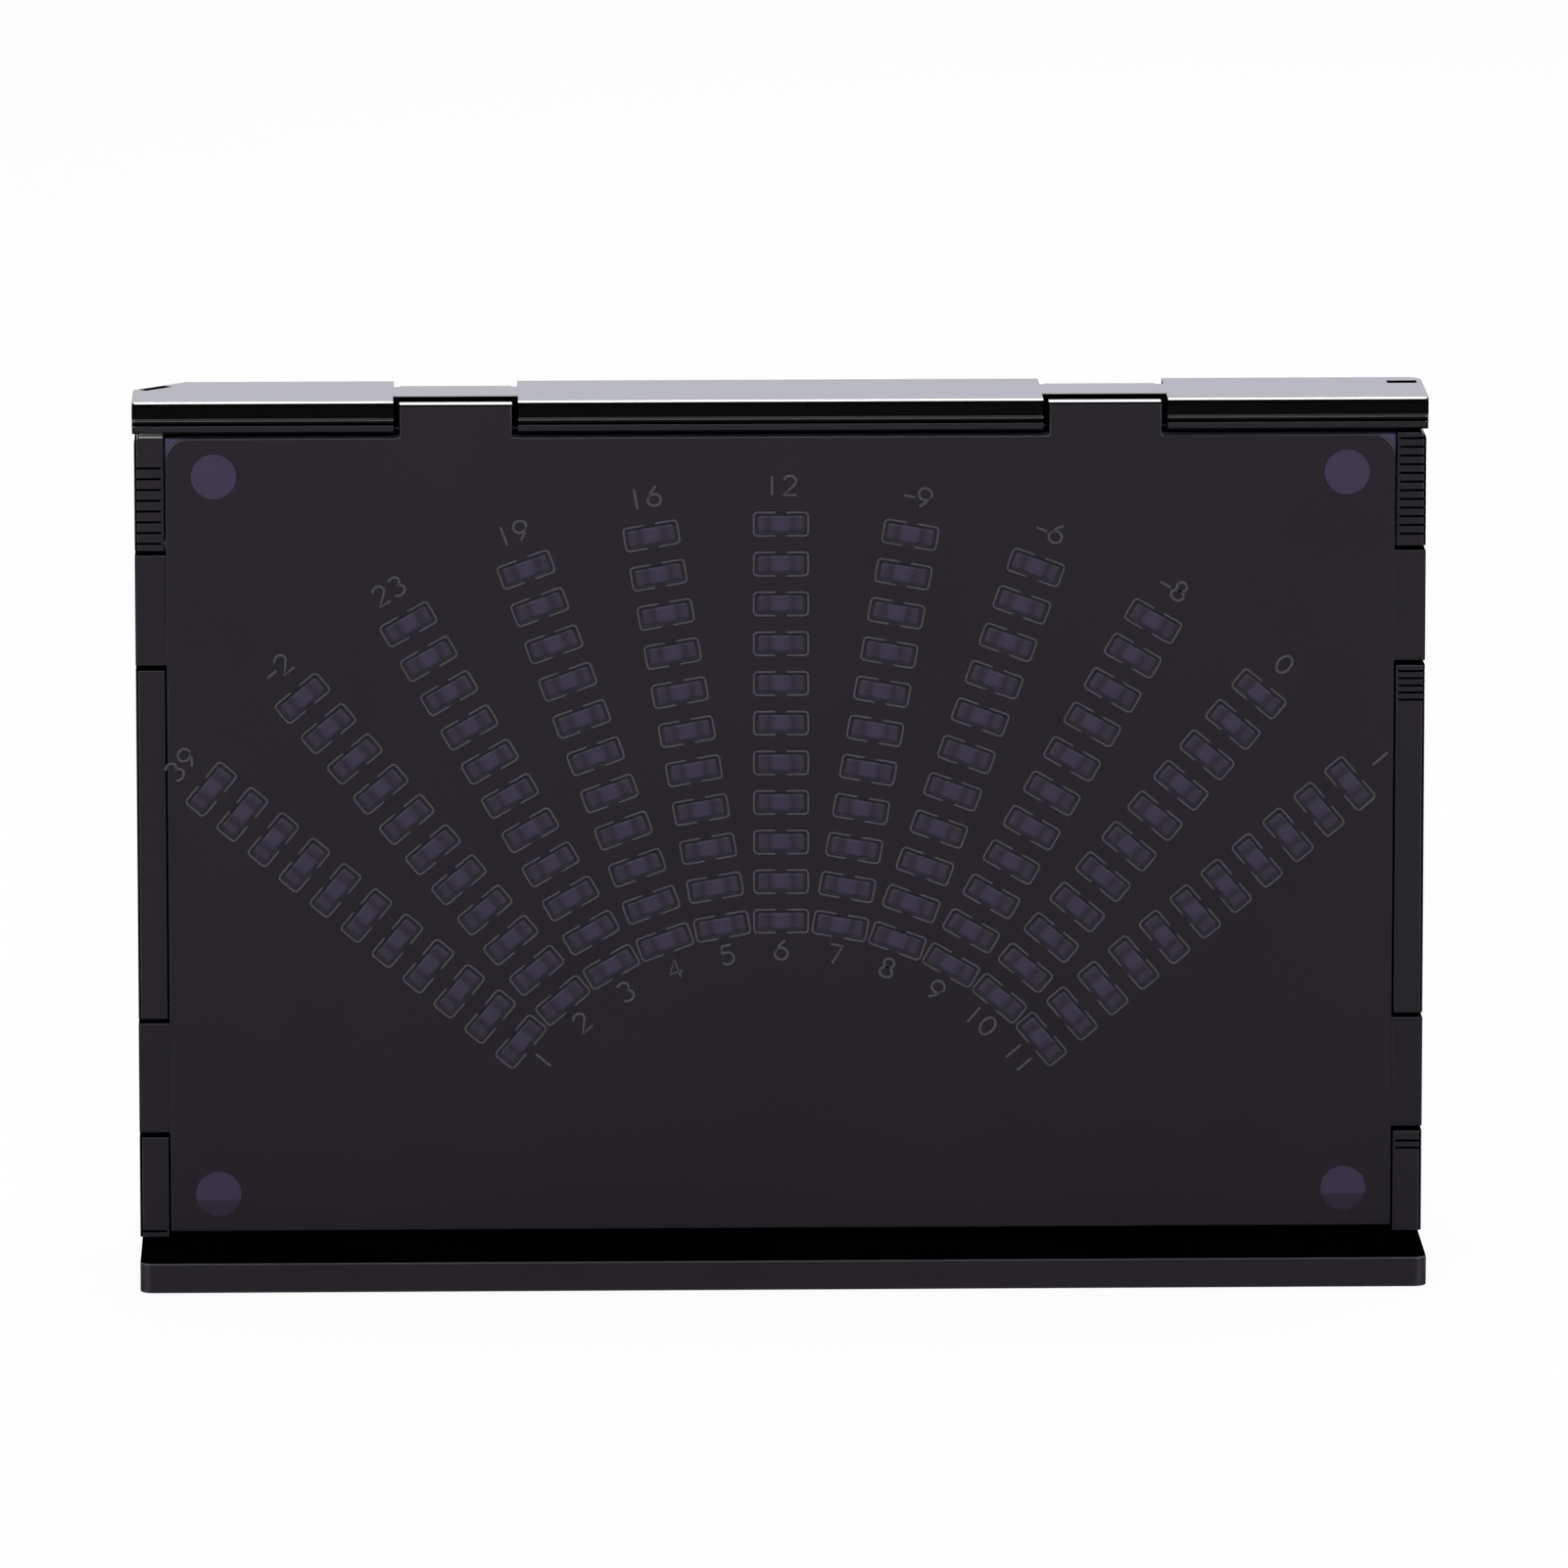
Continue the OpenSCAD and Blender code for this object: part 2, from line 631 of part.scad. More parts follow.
// A ship lies along a column. It covers as many rings as it is long, from the named ring outward.
module ship(cells, column, ring) {
    length = cells * ring_pitch - 2 * ship_end_gap;
    steps = 12;
    stern = -ring_pitch / 2 + ship_end_gap;
    color(grey) at_cell(column, ring) {
        plate([board_y0 - hull_h, board_y0]) polygon(concat(
            [for (i = [0 : steps]) [hull_half_w(i / steps), stern + length * i / steps]],
            [for (i = [steps : -1 : 0]) [-hull_half_w(i / steps), stern + length * i / steps]]));
        for (i = [0 : cells - 1]) translate([0, 0, i * ring_pitch])
            rod_y(0, 0, peg_d / 2 * (i % 2 == 0 ? 1 : 0.8),
                [board_y0 - hull_h - (i % 2 == 0 ? house_h : house_h / 2), board_y0 - hull_h + eps]);
        span([-ship_w * 0.22, ship_w * 0.22], [board_y0 - hull_h - house_h * 0.6, board_y0 - hull_h + eps],
            [stern + length * 0.25, stern + length * 0.7]);
        for (i = [0, cells - 1]) translate([0, 0, i * ring_pitch])
            rod_y(0, 0, peg_d / 2, [board_y0 - eps, board_y1]);
    }
}

ship_end_gap = 0.8;
centre_column = (fan_columns + 1) / 2;

module ship_of_five() ship(5, centre_column, 4);
module ship_of_four() ship(4, centre_column - 2, 6);
module ship_of_three() ship(3, centre_column + 2, 3);
module second_ship_of_three() ship(3, centre_column + 3, 6);
module ship_of_two() ship(2, centre_column - 3, 3);

// ---- door ----

strip_over = 0.2;
strip_end_over = 0.5;
strip_w = window_w + 2 * strip_over;
strip_end = window_h / 2 + strip_end_over;
strip_play = 0.15;
door_screw_l = 5.5;
tab_rear_r = 2;
tab_neck_r = 3;

module window_outline() polygon(round_rect(window_w, window_h, window_r));

module panel_outline()
    difference() {
        translate([-panel_x, panel_z0]) square([panel_w, panel_h]);
        for (s = sides) corner_cut(s, panel_x, panel_z1, panel_corner_r);
    }

module disc_places()
    for (s = sides) for (z = [panel_z0 + disc_end, panel_z1 - disc_end])
        translate([s * (panel_x - disc_side), z]) children();

// What rounding one corner takes away, seen from the arc's centre
module quarter_cut(r)
    difference() {
        square(r + 1);
        circle(r);
    }

// The fillet in the corner between the panel's top edge and the end of a tab
module tab_fillet(t)
    difference() {
        translate([t > 0 ? 0 : -tab_fillet_r, -eps]) square([tab_fillet_r, tab_fillet_r + eps]);
        translate([t * tab_fillet_r, tab_fillet_r]) circle(tab_fillet_r);
    }

// One hinge tab, as a section in Y and Z: round at its rear so that it turns inside its notch
module hinge_tab_section()
    difference() {
        union() {
            translate([front_y, panel_z1]) square([tab_d, tab_z1 - panel_z1]);
            translate([front_y, panel_z1 - 1]) square([skin_t, 2]);
        }
        translate([front_y + tab_d - tab_rear_r, tab_z1 - tab_rear_r]) quarter_cut(tab_rear_r);
        translate([front_y + tab_d - tab_neck_r, panel_z1 + tab_neck_r])
            mirror([0, 1, 0]) quarter_cut(tab_neck_r);
    }

module door_panel()
    color(satin_black) difference() {
        union() {
            plate([front_y, front_y + skin_t]) difference() {
                union() {
                    panel_outline();
                    for (s = sides) for (t = sides)
                        translate([s * top_tab_x + t * (tab_l / 2 - eps), panel_z1]) tab_fillet(t);
                }
                for (c = [1 : fan_columns]) for (r = [1 : fan_rings]) at_cell_flat(c, r) window_outline();
                disc_places() circle(d = disc_d + 2 * seat_gap);
            }
            for (s = sides) {
                translate([s * top_tab_x, 0, 0]) rotate([90, 0, 90])
                    linear_extrude(tab_l, center = true) hinge_tab_section();
                for (tab = [upper_tab, lower_tab]) on_side(s) {
                    span([panel_x - 1, side_x1], [front_y + tab_back, front_y + skin_t], tab);
                    span([panel_x, side_x1], [front_y + tab_back, front_y + door_t], tab);
                    span([side_x0, side_x1], [front_y + tab_back, front_y + tab_d], tab);
                }
            }
        }
        for (s = sides) translate([s * top_tab_x, 0, 0])
            rod_x(axis_y, axis_z, hinge_pin_d / 2 + turn_play, [-tab_l / 2 - 1, tab_l / 2 + 1]);
        door_screw_holes();
    }

// Positions of the door's screws, each with its head at the retainer's rear face
module door_screw_places() {
    for (s = sides) for (z = door_screw_side_z)
        translate([s * (panel_x - retainer_side / 2), front_y + door_t, z]) children();
    for (x = door_screw_foot_x)
        translate([x, front_y + door_t, panel_z0 + retainer_foot / 2]) children();
}

module door_screw_holes() door_screw_places() screw_space(small_screw, door_screw_l);

module door_screws() color(steel) door_screw_places() screw(small_screw, door_screw_l);

// A column's carrier strip, with room around it when it is cut from the sheet
module strip_blank(column, play, y)
    at_cell(column, 1) span([-strip_w / 2 - play, strip_w / 2 + play], y,
        [-strip_end - play, (fan_rings - 1) * ring_pitch + strip_end + play]);

sheet_y = [front_y + skin_t, front_y + skin_t + sheet_t];

module purple_sheet()
    color(purple) difference() {
        span([-panel_x, panel_x], sheet_y, [panel_z0, panel_z1]);
        for (c = [1 : fan_columns])
            strip_blank(c, strip_play, [sheet_y[0] - 1, sheet_y[0] + strip_t]);
        door_screw_holes();
    }

corner_recess = 0.3;
corner_play = 0.1;

// Two inlays on the sheet, which fill the rounds of the panel's top corners almost to its face
module corner_inlays()
    color(purple) for (s = sides)
        plate([front_y + corner_recess, sheet_y[0]]) difference() {
            translate([s * (panel_x - panel_corner_r / 2), panel_z1 - panel_corner_r / 2])
                square(panel_corner_r, center = true);
            translate([s * (panel_x - panel_corner_r), panel_z1 - panel_corner_r])
                circle(panel_corner_r + corner_play);
        }

// A marker seen along its column: flat at both ends, with a rounded ridge across the middle
marker_w = window_w - 2 * marker_end_gap;
marker_h = window_h - 2 * marker_side_gap;
ridge_w = 3.6;
module marker_section() {
    face = front_y + marker_recess;
    polygon(concat(
        [[-marker_w / 2, sheet_y[0] + eps], [-marker_w / 2, face], [-ridge_w, face]],
        [for (i = [-5 : 5]) [i / 6 * ridge_w, face - marker_ridge * pow(cos(90 * i / 6), 1.5)]],
        [[ridge_w, face], [marker_w / 2, face], [marker_w / 2, sheet_y[0] + eps]]));
}

module marker_strip(column)
    color(purple) {
        strip_blank(column, 0, [sheet_y[0], sheet_y[0] + strip_t]);
        for (r = [1 : fan_rings]) at_cell(column, r)
            linear_extrude(marker_h, center = true) marker_section();
    }

retainer_inset = 0.5;
disc_sink = 0.1;

module sheet_retainer()
    color(black) difference() {
        plate([sheet_y[1], front_y + door_t]) difference() {
            translate([-panel_x + retainer_inset, panel_z0 + retainer_inset])
                square([panel_w - 2 * retainer_inset, panel_h - 2 * retainer_inset]);
            translate([-panel_x + retainer_side, panel_z0 + retainer_foot])
                square([panel_w - 2 * retainer_side, panel_h - retainer_foot - retainer_head]);
        }
        door_screw_holes();
    }

module corner_discs()
    color(purple) plate([front_y + disc_sink, sheet_y[0]]) disc_places() circle(d = disc_d);

// ---- latches ----

latch_groove_top = 1.5;
latch_groove_foot = 1.95;

// A latch: grooves are the heights of its grip grooves
module latch(s, grooves)
    color(black) difference() {
        union() {
            on_side(s) {
                intersection() {
                    plate([front_y, front_y + latch_d]) difference() {
                        union() {
                            translate([side_x0, latch_z[0]]) square([side_t, latch_axis_z - latch_z[0]]);
                            intersection() {
                                translate([side_x0, latch_axis_z - eps])
                                    square([side_t, latch_pin_inset + eps]);
                                translate([latch_pin_x, latch_axis_z]) circle(latch_turn_r);
                            }
                        }
                        corner_cut(1, side_x1, latch_z[1], latch_pin_inset);
                    }
                    linear_extrude(rail_z1) case_plan(side_x1);
                }
                span([side_x0 - nose_reach, side_x0 + eps], [front_y + nose_y, front_y + nose_y + nose_d],
                    [latch_z[0] + nose_rise, latch_z[0] + nose_rise + nose_h]);
            }
        }
        on_side(s) rod_y(latch_pin_x, latch_axis_z, latch_pin_d / 2 + turn_play,
            [latch_bore_y, front_y + latch_d + 1]);
        for (z = grooves) grip_groove(s, z, latch_d);
    }

// Two grooves at one height, in the front and in the outer face of a side piece, short of its edges
module grip_groove(s, z, depth) {
    height = [z - groove_w / 2, z + groove_w / 2];
    on_side(s) {
        span([side_x0 + groove_end, side_x1 - groove_end], [front_y - 1, front_y + groove_d], height);
        span([side_x1 - groove_d, side_x1 + 1], [front_y + groove_end, front_y + depth - groove_end], height);
    }
}

module latch_left() latch(-1, [for (i = [0 : 7]) latch_z[0] + latch_groove_foot + i * left_groove_pitch]);
module latch_right() latch(1, [for (i = [0 : 11]) latch_z[1] - latch_groove_top - i * right_groove_pitch]);

module latch_pins()
    color(steel) for (s = sides) on_side(s)
        rod_y(latch_pin_x, latch_axis_z, latch_pin_d / 2,
            [latch_bore_y + rest_gap, front_y + latch_d + latch_seat]);

// ---- drawers ----

scoop_r = 7;
scoop_d = 3;
drawer_groove_d = 10;
drawer_groove_top = 1.6;

// The outer end of a drawer: grooves are the heights of its grip grooves
module drawer_face(s, z, grooves)
    color(black) difference() {
        intersection() {
            on_side(s) span([side_x0, side_x1], [front_y, rear_y], z);
            linear_extrude(rail_z1) case_plan(side_x1);
        }
        for (g = grooves) grip_groove(s, g, drawer_groove_d);
        on_side(s) rod_x(0, (z[0] + z[1]) / 2, scoop_r, [side_x1 - scoop_d, side_x1 + 1]);
    }

// A tray open at its top
module tray(s, length, y, z)
    color(black) on_side(s) difference() {
        span([side_x0 - length, side_x0], y, z);
        span([side_x0 - length + tray_wall, side_x0 - tray_wall],
            [y[0] + tray_wall, y[1] - tray_wall], [z[0] + tray_wall, z[1] + 1]);
    }

function rows_down(top, count) =
    [for (i = [0 : count - 1]) top - drawer_groove_top - i * drawer_groove_pitch];

module ship_face_left() drawer_face(-1, ship_face_z, []);
module ship_face_right() drawer_face(1, ship_face_z, rows_down(ship_face_z[1], 5));
module peg_face_left() drawer_face(-1, peg_face_z, [peg_face_z[0] + drawer_groove_top]);
module peg_face_right() drawer_face(1, peg_face_z, rows_down(peg_face_z[1] - 1, 2));
module ship_tray_left() tray(-1, ship_tray_l, ship_tray_y, ship_tray_z);
module ship_tray_right() tray(1, ship_tray_l, ship_tray_y, ship_tray_z);
module peg_tray_left() peg_tray(-1);
module peg_tray_right() peg_tray(1);

rack_t = 3;
rack_w = 7;
peg_l = 11;
peg_head_h = 3;
peg_head_over = 1.2;
rack_pitch = (peg_tray_l - 2 * tray_wall) / stored_pegs;
function peg_x(i) = side_x0 - peg_tray_l + tray_wall + rack_pitch * (i + 0.5);

// The peg tray has a thick bar along its rear wall, with a row of peg sockets
module peg_tray(s)
    color(black) difference() {
        union() {
            tray(s, peg_tray_l, peg_tray_y, peg_tray_z);
            on_side(s) span([side_x0 - peg_tray_l + eps, side_x0 - eps],
                [peg_tray_y[1] - rack_w, peg_tray_y[1] - eps],
                [peg_tray_z[0] + eps, peg_tray_z[0] + tray_wall + rack_t]);
        }
        for (i = [0 : stored_pegs - 1]) on_side(s)
            translate([peg_x(i), peg_tray_y[1] - rack_w / 2, peg_tray_z[0] + tray_wall])
                cylinder(d = hole_d, h = rack_t + 1);
    }

module pegs(s)
    color(purple) for (i = [0 : stored_pegs - 1]) on_side(s)
        translate([peg_x(i), peg_tray_y[1] - rack_w / 2, peg_tray_z[0] + tray_wall]) {
            cylinder(d = peg_d, h = peg_l);
            translate([0, 0, peg_l - peg_head_h]) cylinder(d = peg_d + peg_head_over, h = peg_head_h);
        }

module pegs_left() pegs(-1);
module pegs_right() pegs(1);

// ---- nodes ----

foot_plate();
foot_pads();
case_shell();
top_rail();
rear_cover();
fleet_board();
ship_of_five();
ship_of_four();
ship_of_three();
second_ship_of_three();
ship_of_two();
hinge_pins();
latch_pins();
foot_screws();
rail_screws();
cover_screws();
board_screws();
door_panel();
purple_sheet();
corner_inlays();
for (c = [1 : fan_columns]) marker_strip(c);
sheet_retainer();
corner_discs();
door_screws();
latch_left();
latch_right();
ship_tray_left();
ship_face_left();
ship_tray_right();
ship_face_right();
peg_tray_left();
peg_face_left();
pegs_left();
peg_tray_right();
peg_face_right();
pegs_right();
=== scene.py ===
# %% [markdown]
# # A fleet guessing case
# The real object is an upright box of moulded black plastic on a wide foot. Its front panel has 121
# windows in a fan, with a purple marker in each, and swings up on two hinge tabs. Latches and small
# drawers make up the sides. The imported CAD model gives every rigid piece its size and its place. This
# notebook gives them their edges and finishes, and adds what is too fine for the CAD: the window
# outlines, the numbers and the moulded shape of the markers.

# %% Load the frame
import json
import math

import bmesh
import bpy
import numpy as np
from mathutils import Matrix, Vector

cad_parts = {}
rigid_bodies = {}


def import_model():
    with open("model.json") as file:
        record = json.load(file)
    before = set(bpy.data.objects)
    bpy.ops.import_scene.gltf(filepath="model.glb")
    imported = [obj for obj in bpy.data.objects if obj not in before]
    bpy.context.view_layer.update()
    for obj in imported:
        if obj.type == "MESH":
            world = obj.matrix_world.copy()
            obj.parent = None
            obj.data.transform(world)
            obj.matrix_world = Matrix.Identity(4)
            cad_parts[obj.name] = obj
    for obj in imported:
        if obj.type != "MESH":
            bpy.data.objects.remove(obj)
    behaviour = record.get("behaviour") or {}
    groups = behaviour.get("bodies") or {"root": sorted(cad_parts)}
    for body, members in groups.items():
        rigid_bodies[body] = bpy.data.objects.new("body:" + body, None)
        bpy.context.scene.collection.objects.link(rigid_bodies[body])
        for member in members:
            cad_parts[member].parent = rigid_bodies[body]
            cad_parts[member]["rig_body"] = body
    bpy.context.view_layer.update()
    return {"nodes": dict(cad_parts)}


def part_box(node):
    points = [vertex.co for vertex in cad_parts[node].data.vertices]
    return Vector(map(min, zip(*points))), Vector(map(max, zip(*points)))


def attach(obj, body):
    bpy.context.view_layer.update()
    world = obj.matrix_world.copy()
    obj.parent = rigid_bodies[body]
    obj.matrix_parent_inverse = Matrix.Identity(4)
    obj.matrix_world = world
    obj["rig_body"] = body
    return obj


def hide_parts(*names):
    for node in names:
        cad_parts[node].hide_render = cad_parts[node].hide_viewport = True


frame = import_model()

MM = 0.001
nodes = frame["nodes"]

# %% [markdown]
# ## Camera
# The object is seen from a little above and almost straight on, through a very long lens, so its
# upright edges stay parallel. The camera is aimed at a point on the front face and pulled back along
# its own line of sight, so four plain numbers say where it stands.

# %% Camera
FRONT_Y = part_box("door_panel")[0].y


def look_from(aim, distance, yaw, down, roll, lens):
    """A camera at the given distance from aim. It looks along +Y, turned by yaw to +X and by down towards
    the floor, and roll turns it about its own axis."""
    camera = bpy.data.objects.new("camera", bpy.data.cameras.new("camera"))
    bpy.context.scene.collection.objects.link(camera)
    camera.data.lens = lens
    camera.data.sensor_width = 36
    camera.data.clip_start = 0.1
    camera.data.clip_end = 50
    turn = Matrix.Rotation(-yaw, 4, "Z") @ Matrix.Rotation(math.pi / 2 - down, 4, "X")
    camera.matrix_world = Matrix.Translation(aim) @ turn @ Matrix.Translation((0, 0, distance))
    camera.matrix_world = camera.matrix_world @ Matrix.Rotation(roll, 4, "Z")
    bpy.context.scene.camera = camera
    return camera


camera = look_from(
    aim=(0.76 * MM, FRONT_Y, 129.79 * MM),
    distance=3.859,
    yaw=math.radians(1.393),
    down=math.radians(10.227),
    roll=math.radians(-0.029),
    lens=337.3,
)
print("camera at", [round(v, 3) for v in camera.matrix_world.translation])

# %% [markdown]
# ## Materials
# Nearly every piece is an injection moulding. What tells one from the other is the surface of its
# mould: spark eroded steel leaves a fine grain and a satin sheen, polished steel a mirror.
# Colours are written as sRGB hex values and turned to the linear values that the sockets take.

# %% Colour and node helpers


def linear(hex_colour):
    """The linear RGBA of an sRGB hex colour: the lowest values are divided by 12.92, the others follow
    a power of 2.4."""
    srgb = np.array([int(hex_colour[i : i + 2], 16) for i in (1, 3, 5)]) / 255
    rgb = np.where(srgb <= 0.04045, srgb / 12.92, ((srgb + 0.055) / 1.055) ** 2.4)
    return (*rgb, 1.0)


def add_node(tree, kind, settings=None, links=None):
    """Adds one shader node. Settings are sockets or properties and their values, and links are input
    sockets and the outputs that feed them. A socket is named, or counted where names repeat."""
    node = tree.nodes.new("ShaderNode" + kind)
    for name, value in (settings or {}).items():
        if isinstance(name, int) or name in node.inputs:
            node.inputs[name].default_value = value
        else:
            setattr(node, name, value)
    for name, output in (links or {}).items():
        tree.links.new(output, node.inputs[name])
    return node


def new_material(name):
    """An empty node material, with its tree and its output node."""
    material = bpy.data.materials.new(name)
    material.use_nodes = True
    tree = material.node_tree
    tree.nodes.clear()
    return material, tree, add_node(tree, "OutputMaterial")


# %% [markdown]
# Two noises make a moulded surface. A coarse one, some centimetres wide, shifts the colour a little,
# as pigment does where the melt ran. A fine one is the grain of the mould. Real spark grain is about
# 0.05 mm, too fine to show here, so it is drawn at 0.3 mm or more.

# %% Moulded plastic


def moulded(name, colour, streak, roughness, grain, depth, streak_size=45 * MM, specular=0.5):
    """Moulded plastic: colour varies to streak over patches of streak_size, and the mould's grain is a
    bump of the given size and depth. All lengths are in metres."""
    material, tree, output = new_material(name)
    place = add_node(tree, "TexCoord").outputs["Object"]
    melt = add_node(tree, "TexNoise", {"Scale": 1 / streak_size, "Detail": 3.0}, {"Vector": place})
    colours = add_node(tree, "ValToRGB", {}, {"Fac": melt.outputs["Fac"]})
    colours.color_ramp.elements[0].position = 0.35
    colours.color_ramp.elements[0].color = linear(colour)
    colours.color_ramp.elements[1].position = 0.7
    colours.color_ramp.elements[1].color = linear(streak)
    spark = add_node(tree, "TexNoise", {"Scale": 1 / grain, "Detail": 2.0}, {"Vector": place})
    bump = add_node(tree, "Bump", {"Strength": 0.6, "Distance": depth}, {"Height": spark.outputs["Fac"]})
    surface = add_node(
        tree,
        "BsdfPrincipled",
        {"Roughness": roughness, "IOR": 1.52, "Specular IOR Level": specular},
        {"Base Color": colours.outputs["Color"], "Normal": bump.outputs["Normal"]},
    )
    tree.links.new(surface.outputs["BSDF"], output.inputs["Surface"])
    return material


# %% The plastics
# Satin ABS: the panel, the side pieces and the foot. Its spark-eroded mould leaves a soft sheen.
satin_black = moulded(
    "satin_black_ABS", "#1b181e", "#1d1a20", 0.38, 0.35 * MM, 0.012 * MM, specular=0.25
)
# Polished ABS: the rail and the shell. At a low angle it mirrors the room.
gloss_black = moulded("polished_black_ABS", "#0b090a", "#0c0a0b", 0.08, 2 * MM, 0.001 * MM)
# The rail's top is polished too, over a violet base that is painted sheen, a lighter copy of the rail's
# black.
# From the front, at a low angle, the room's mirror image hides the violet. From straight behind it shows,
# and from the rear corners the strips hide it.
rail_top_painted_sheen = moulded("black_ABS_painted_violet_sheen", "#3c3c58", "#3e3e5b", 0.08, 2 * MM, 0.001 * MM)
# The tops of the hinge tabs and the left latch, and the rail's front top edge, carry a painted highlight:
# pale paint where they catch the light.
painted_highlight_pale = moulded("painted_highlight_pale_ABS", "#f4f4f6", "#f6f6f8", 0.2, 1 * MM, 0.002 * MM)
# Grooves and gaps get painted shade: the same plastic, painted black and dull, so that they swallow the
# light.
painted_shade_black = moulded(
    "painted_shade_black_ABS", "#010101", "#020202", 0.8, 0.4 * MM, 0.01 * MM, specular=0.0
)
# The foot's top is just as dull, and painted almost black: a painted dark reflection, so that it hardly
# mirrors the panel above it.
foot_top_painted_shade = moulded("matt_black_ABS_painted_shade", "#010101", "#020202", 0.4, 0.4 * MM, 0.01 * MM, specular=0.0)
# The numbers and the raised outlines carry a dull grey ink.
grey_ink = moulded(
    "grey_pad_print_ink", "#39373c", "#3d3b41", 0.7, 0.4 * MM, 0.004 * MM, specular=0.25
)
# The collar round each marker is painted shade: a black frame, a little more violet than the panel, where
# the window's edge falls dark.
painted_shade_collar = moulded(
    "violet_black_painted_shade", "#17141c", "#1a171f", 0.6, 0.4 * MM, 0.006 * MM, specular=0.2
)
# The sheet and the discs: purple polypropylene with a fine satin grain.
purple_satin = moulded(
    "purple_polypropylene", "#373148", "#39334a", 0.5, 0.4 * MM, 0.008 * MM, specular=0.2
)
# The board and the ships: grey polystyrene.
grey_styrene = moulded("grey_polystyrene", "#55555b", "#5b5b62", 0.42, 0.4 * MM, 0.01 * MM)
# The pads under the foot: soft rubber, dull and almost black.
pad_rubber = moulded("black_rubber", "#0d0d0e", "#131314", 0.85, 0.5 * MM, 0.03 * MM)

# %% [markdown]
# Pins and screws are drawn steel: a metal, with fine scratches that only change its roughness.

# %% Steel


def drawn_steel():
    """Bright steel whose roughness varies along fine scratches."""
    material, tree, output = new_material("drawn_steel")
    place = add_node(tree, "TexCoord").outputs["Object"]
    stretch = add_node(tree, "Mapping", {"Scale": (40, 1200, 1200)}, {"Vector": place})
    stretched = stretch.outputs["Vector"]
    scratch = add_node(tree, "TexNoise", {"Scale": 1.0, "Detail": 2.0}, {"Vector": stretched})
    rough = add_node(
        tree,
        "MapRange",
        {"From Min": 0.3, "From Max": 0.7, "To Min": 0.22, "To Max": 0.42},
        {"Value": scratch.outputs["Fac"]},
    )
    surface = add_node(
        tree,
        "BsdfPrincipled",
        {"Base Color": linear("#9b9da1"), "Metallic": 1.0},
        {"Roughness": rough.outputs["Result"]},
    )
    tree.links.new(surface.outputs["BSDF"], output.inputs["Surface"])
    return material


steel = drawn_steel()

# %% [markdown]
# A marker is moulded in the same purple, and its colour carries painted shade and highlight: its hollows
# are painted darker and its ends greyer than its crown, as light falls on its shape. The pattern runs along
# the marker, so it reads the piece's own UV map, whose first value goes from 0 at the middle to 1 at both
# ends.

# %% Marker plastic


def marker_plastic():
    """Purple plastic with painted shade, whose colour follows the piece's UV map along each marker."""
    material, tree, output = new_material("purple_polypropylene_painted_shade")
    along = add_node(tree, "UVMap", {"uv_map": "along"})
    split = add_node(tree, "SeparateXYZ", {}, {"Vector": along.outputs["UV"]})
    bands = add_node(tree, "ValToRGB", {}, {"Fac": split.outputs["X"]})
    ramp = bands.color_ramp
    ramp.interpolation = "B_SPLINE"
    stops = [
        (0.0, "#342f41"),
        (0.3, "#322d3e"),
        (0.47, "#221e28"),
        (0.58, "#25222b"),
        (0.8, "#302b39"),
        (1.0, "#2e2a35"),
    ]
    ramp.elements[0].position, ramp.elements[0].color = stops[0][0], linear(stops[0][1])
    ramp.elements[1].position, ramp.elements[1].color = stops[-1][0], linear(stops[-1][1])
    for position, colour in stops[1:-1]:
        ramp.elements.new(position).color = linear(colour)
    place = add_node(tree, "TexCoord").outputs["Object"]
    spark = add_node(tree, "TexNoise", {"Scale": 1 / (0.35 * MM), "Detail": 2.0}, {"Vector": place})
    relief = {"Strength": 0.5, "Distance": 0.008 * MM}
    bump = add_node(tree, "Bump", relief, {"Height": spark.outputs["Fac"]})
    surface = add_node(
        tree,
        "BsdfPrincipled",
        {"Roughness": 0.55, "IOR": 1.49, "Specular IOR Level": 0.15},
        {"Base Color": bands.outputs["Color"], "Normal": bump.outputs["Normal"]},
    )
    tree.links.new(surface.outputs["BSDF"], output.inputs["Surface"])
    return material


marker_purple_painted_shade = marker_plastic()

# %% [markdown]
# The discs are thin and slightly translucent. The two lower ones have a painted shadow: they are darker
# below the edge of the black bar that lies behind them, so their colour depends on the height.

# %% Disc plastic


def disc_plastic(edge_z):
    """Purple plastic with a painted shadow: darker below the height edge_z in the object's own coordinates.
    """
    material, tree, output = new_material("purple_polypropylene_painted_shadow")
    place = add_node(tree, "TexCoord").outputs["Object"]
    split = add_node(tree, "SeparateXYZ", {}, {"Vector": place})
    above = add_node(
        tree,
        "MapRange",
        {"From Min": edge_z - 0.1 * MM, "From Max": edge_z + 0.1 * MM},
        {"Value": split.outputs["Z"]},
    )
    colours = add_node(tree, "ValToRGB", {}, {"Fac": above.outputs["Result"]})
    colours.color_ramp.elements[0].color = linear("#272330")
    colours.color_ramp.elements[1].color = linear("#363046")
    surface = add_node(
        tree,
        "BsdfPrincipled",
        {"Roughness": 0.5, "Specular IOR Level": 0.15},
        {"Base Color": colours.outputs["Color"]},
    )
    tree.links.new(surface.outputs["BSDF"], output.inputs["Surface"])
    return material


disc_purple_painted_shadow = disc_plastic(19 * MM)

# %% [markdown]
# ## Bevelled mouldings
# A moulded edge is never razor sharp: it has a radius of a few tenths of a millimetre that catches the
# light as a thin bright line. A CAD mesh is loose triangles with sharp edges. So a copy of it is merged,
# its flat faces are joined again, and Blender's Bevel rounds the edges that remain.

# %% Bevelled copies of CAD nodes


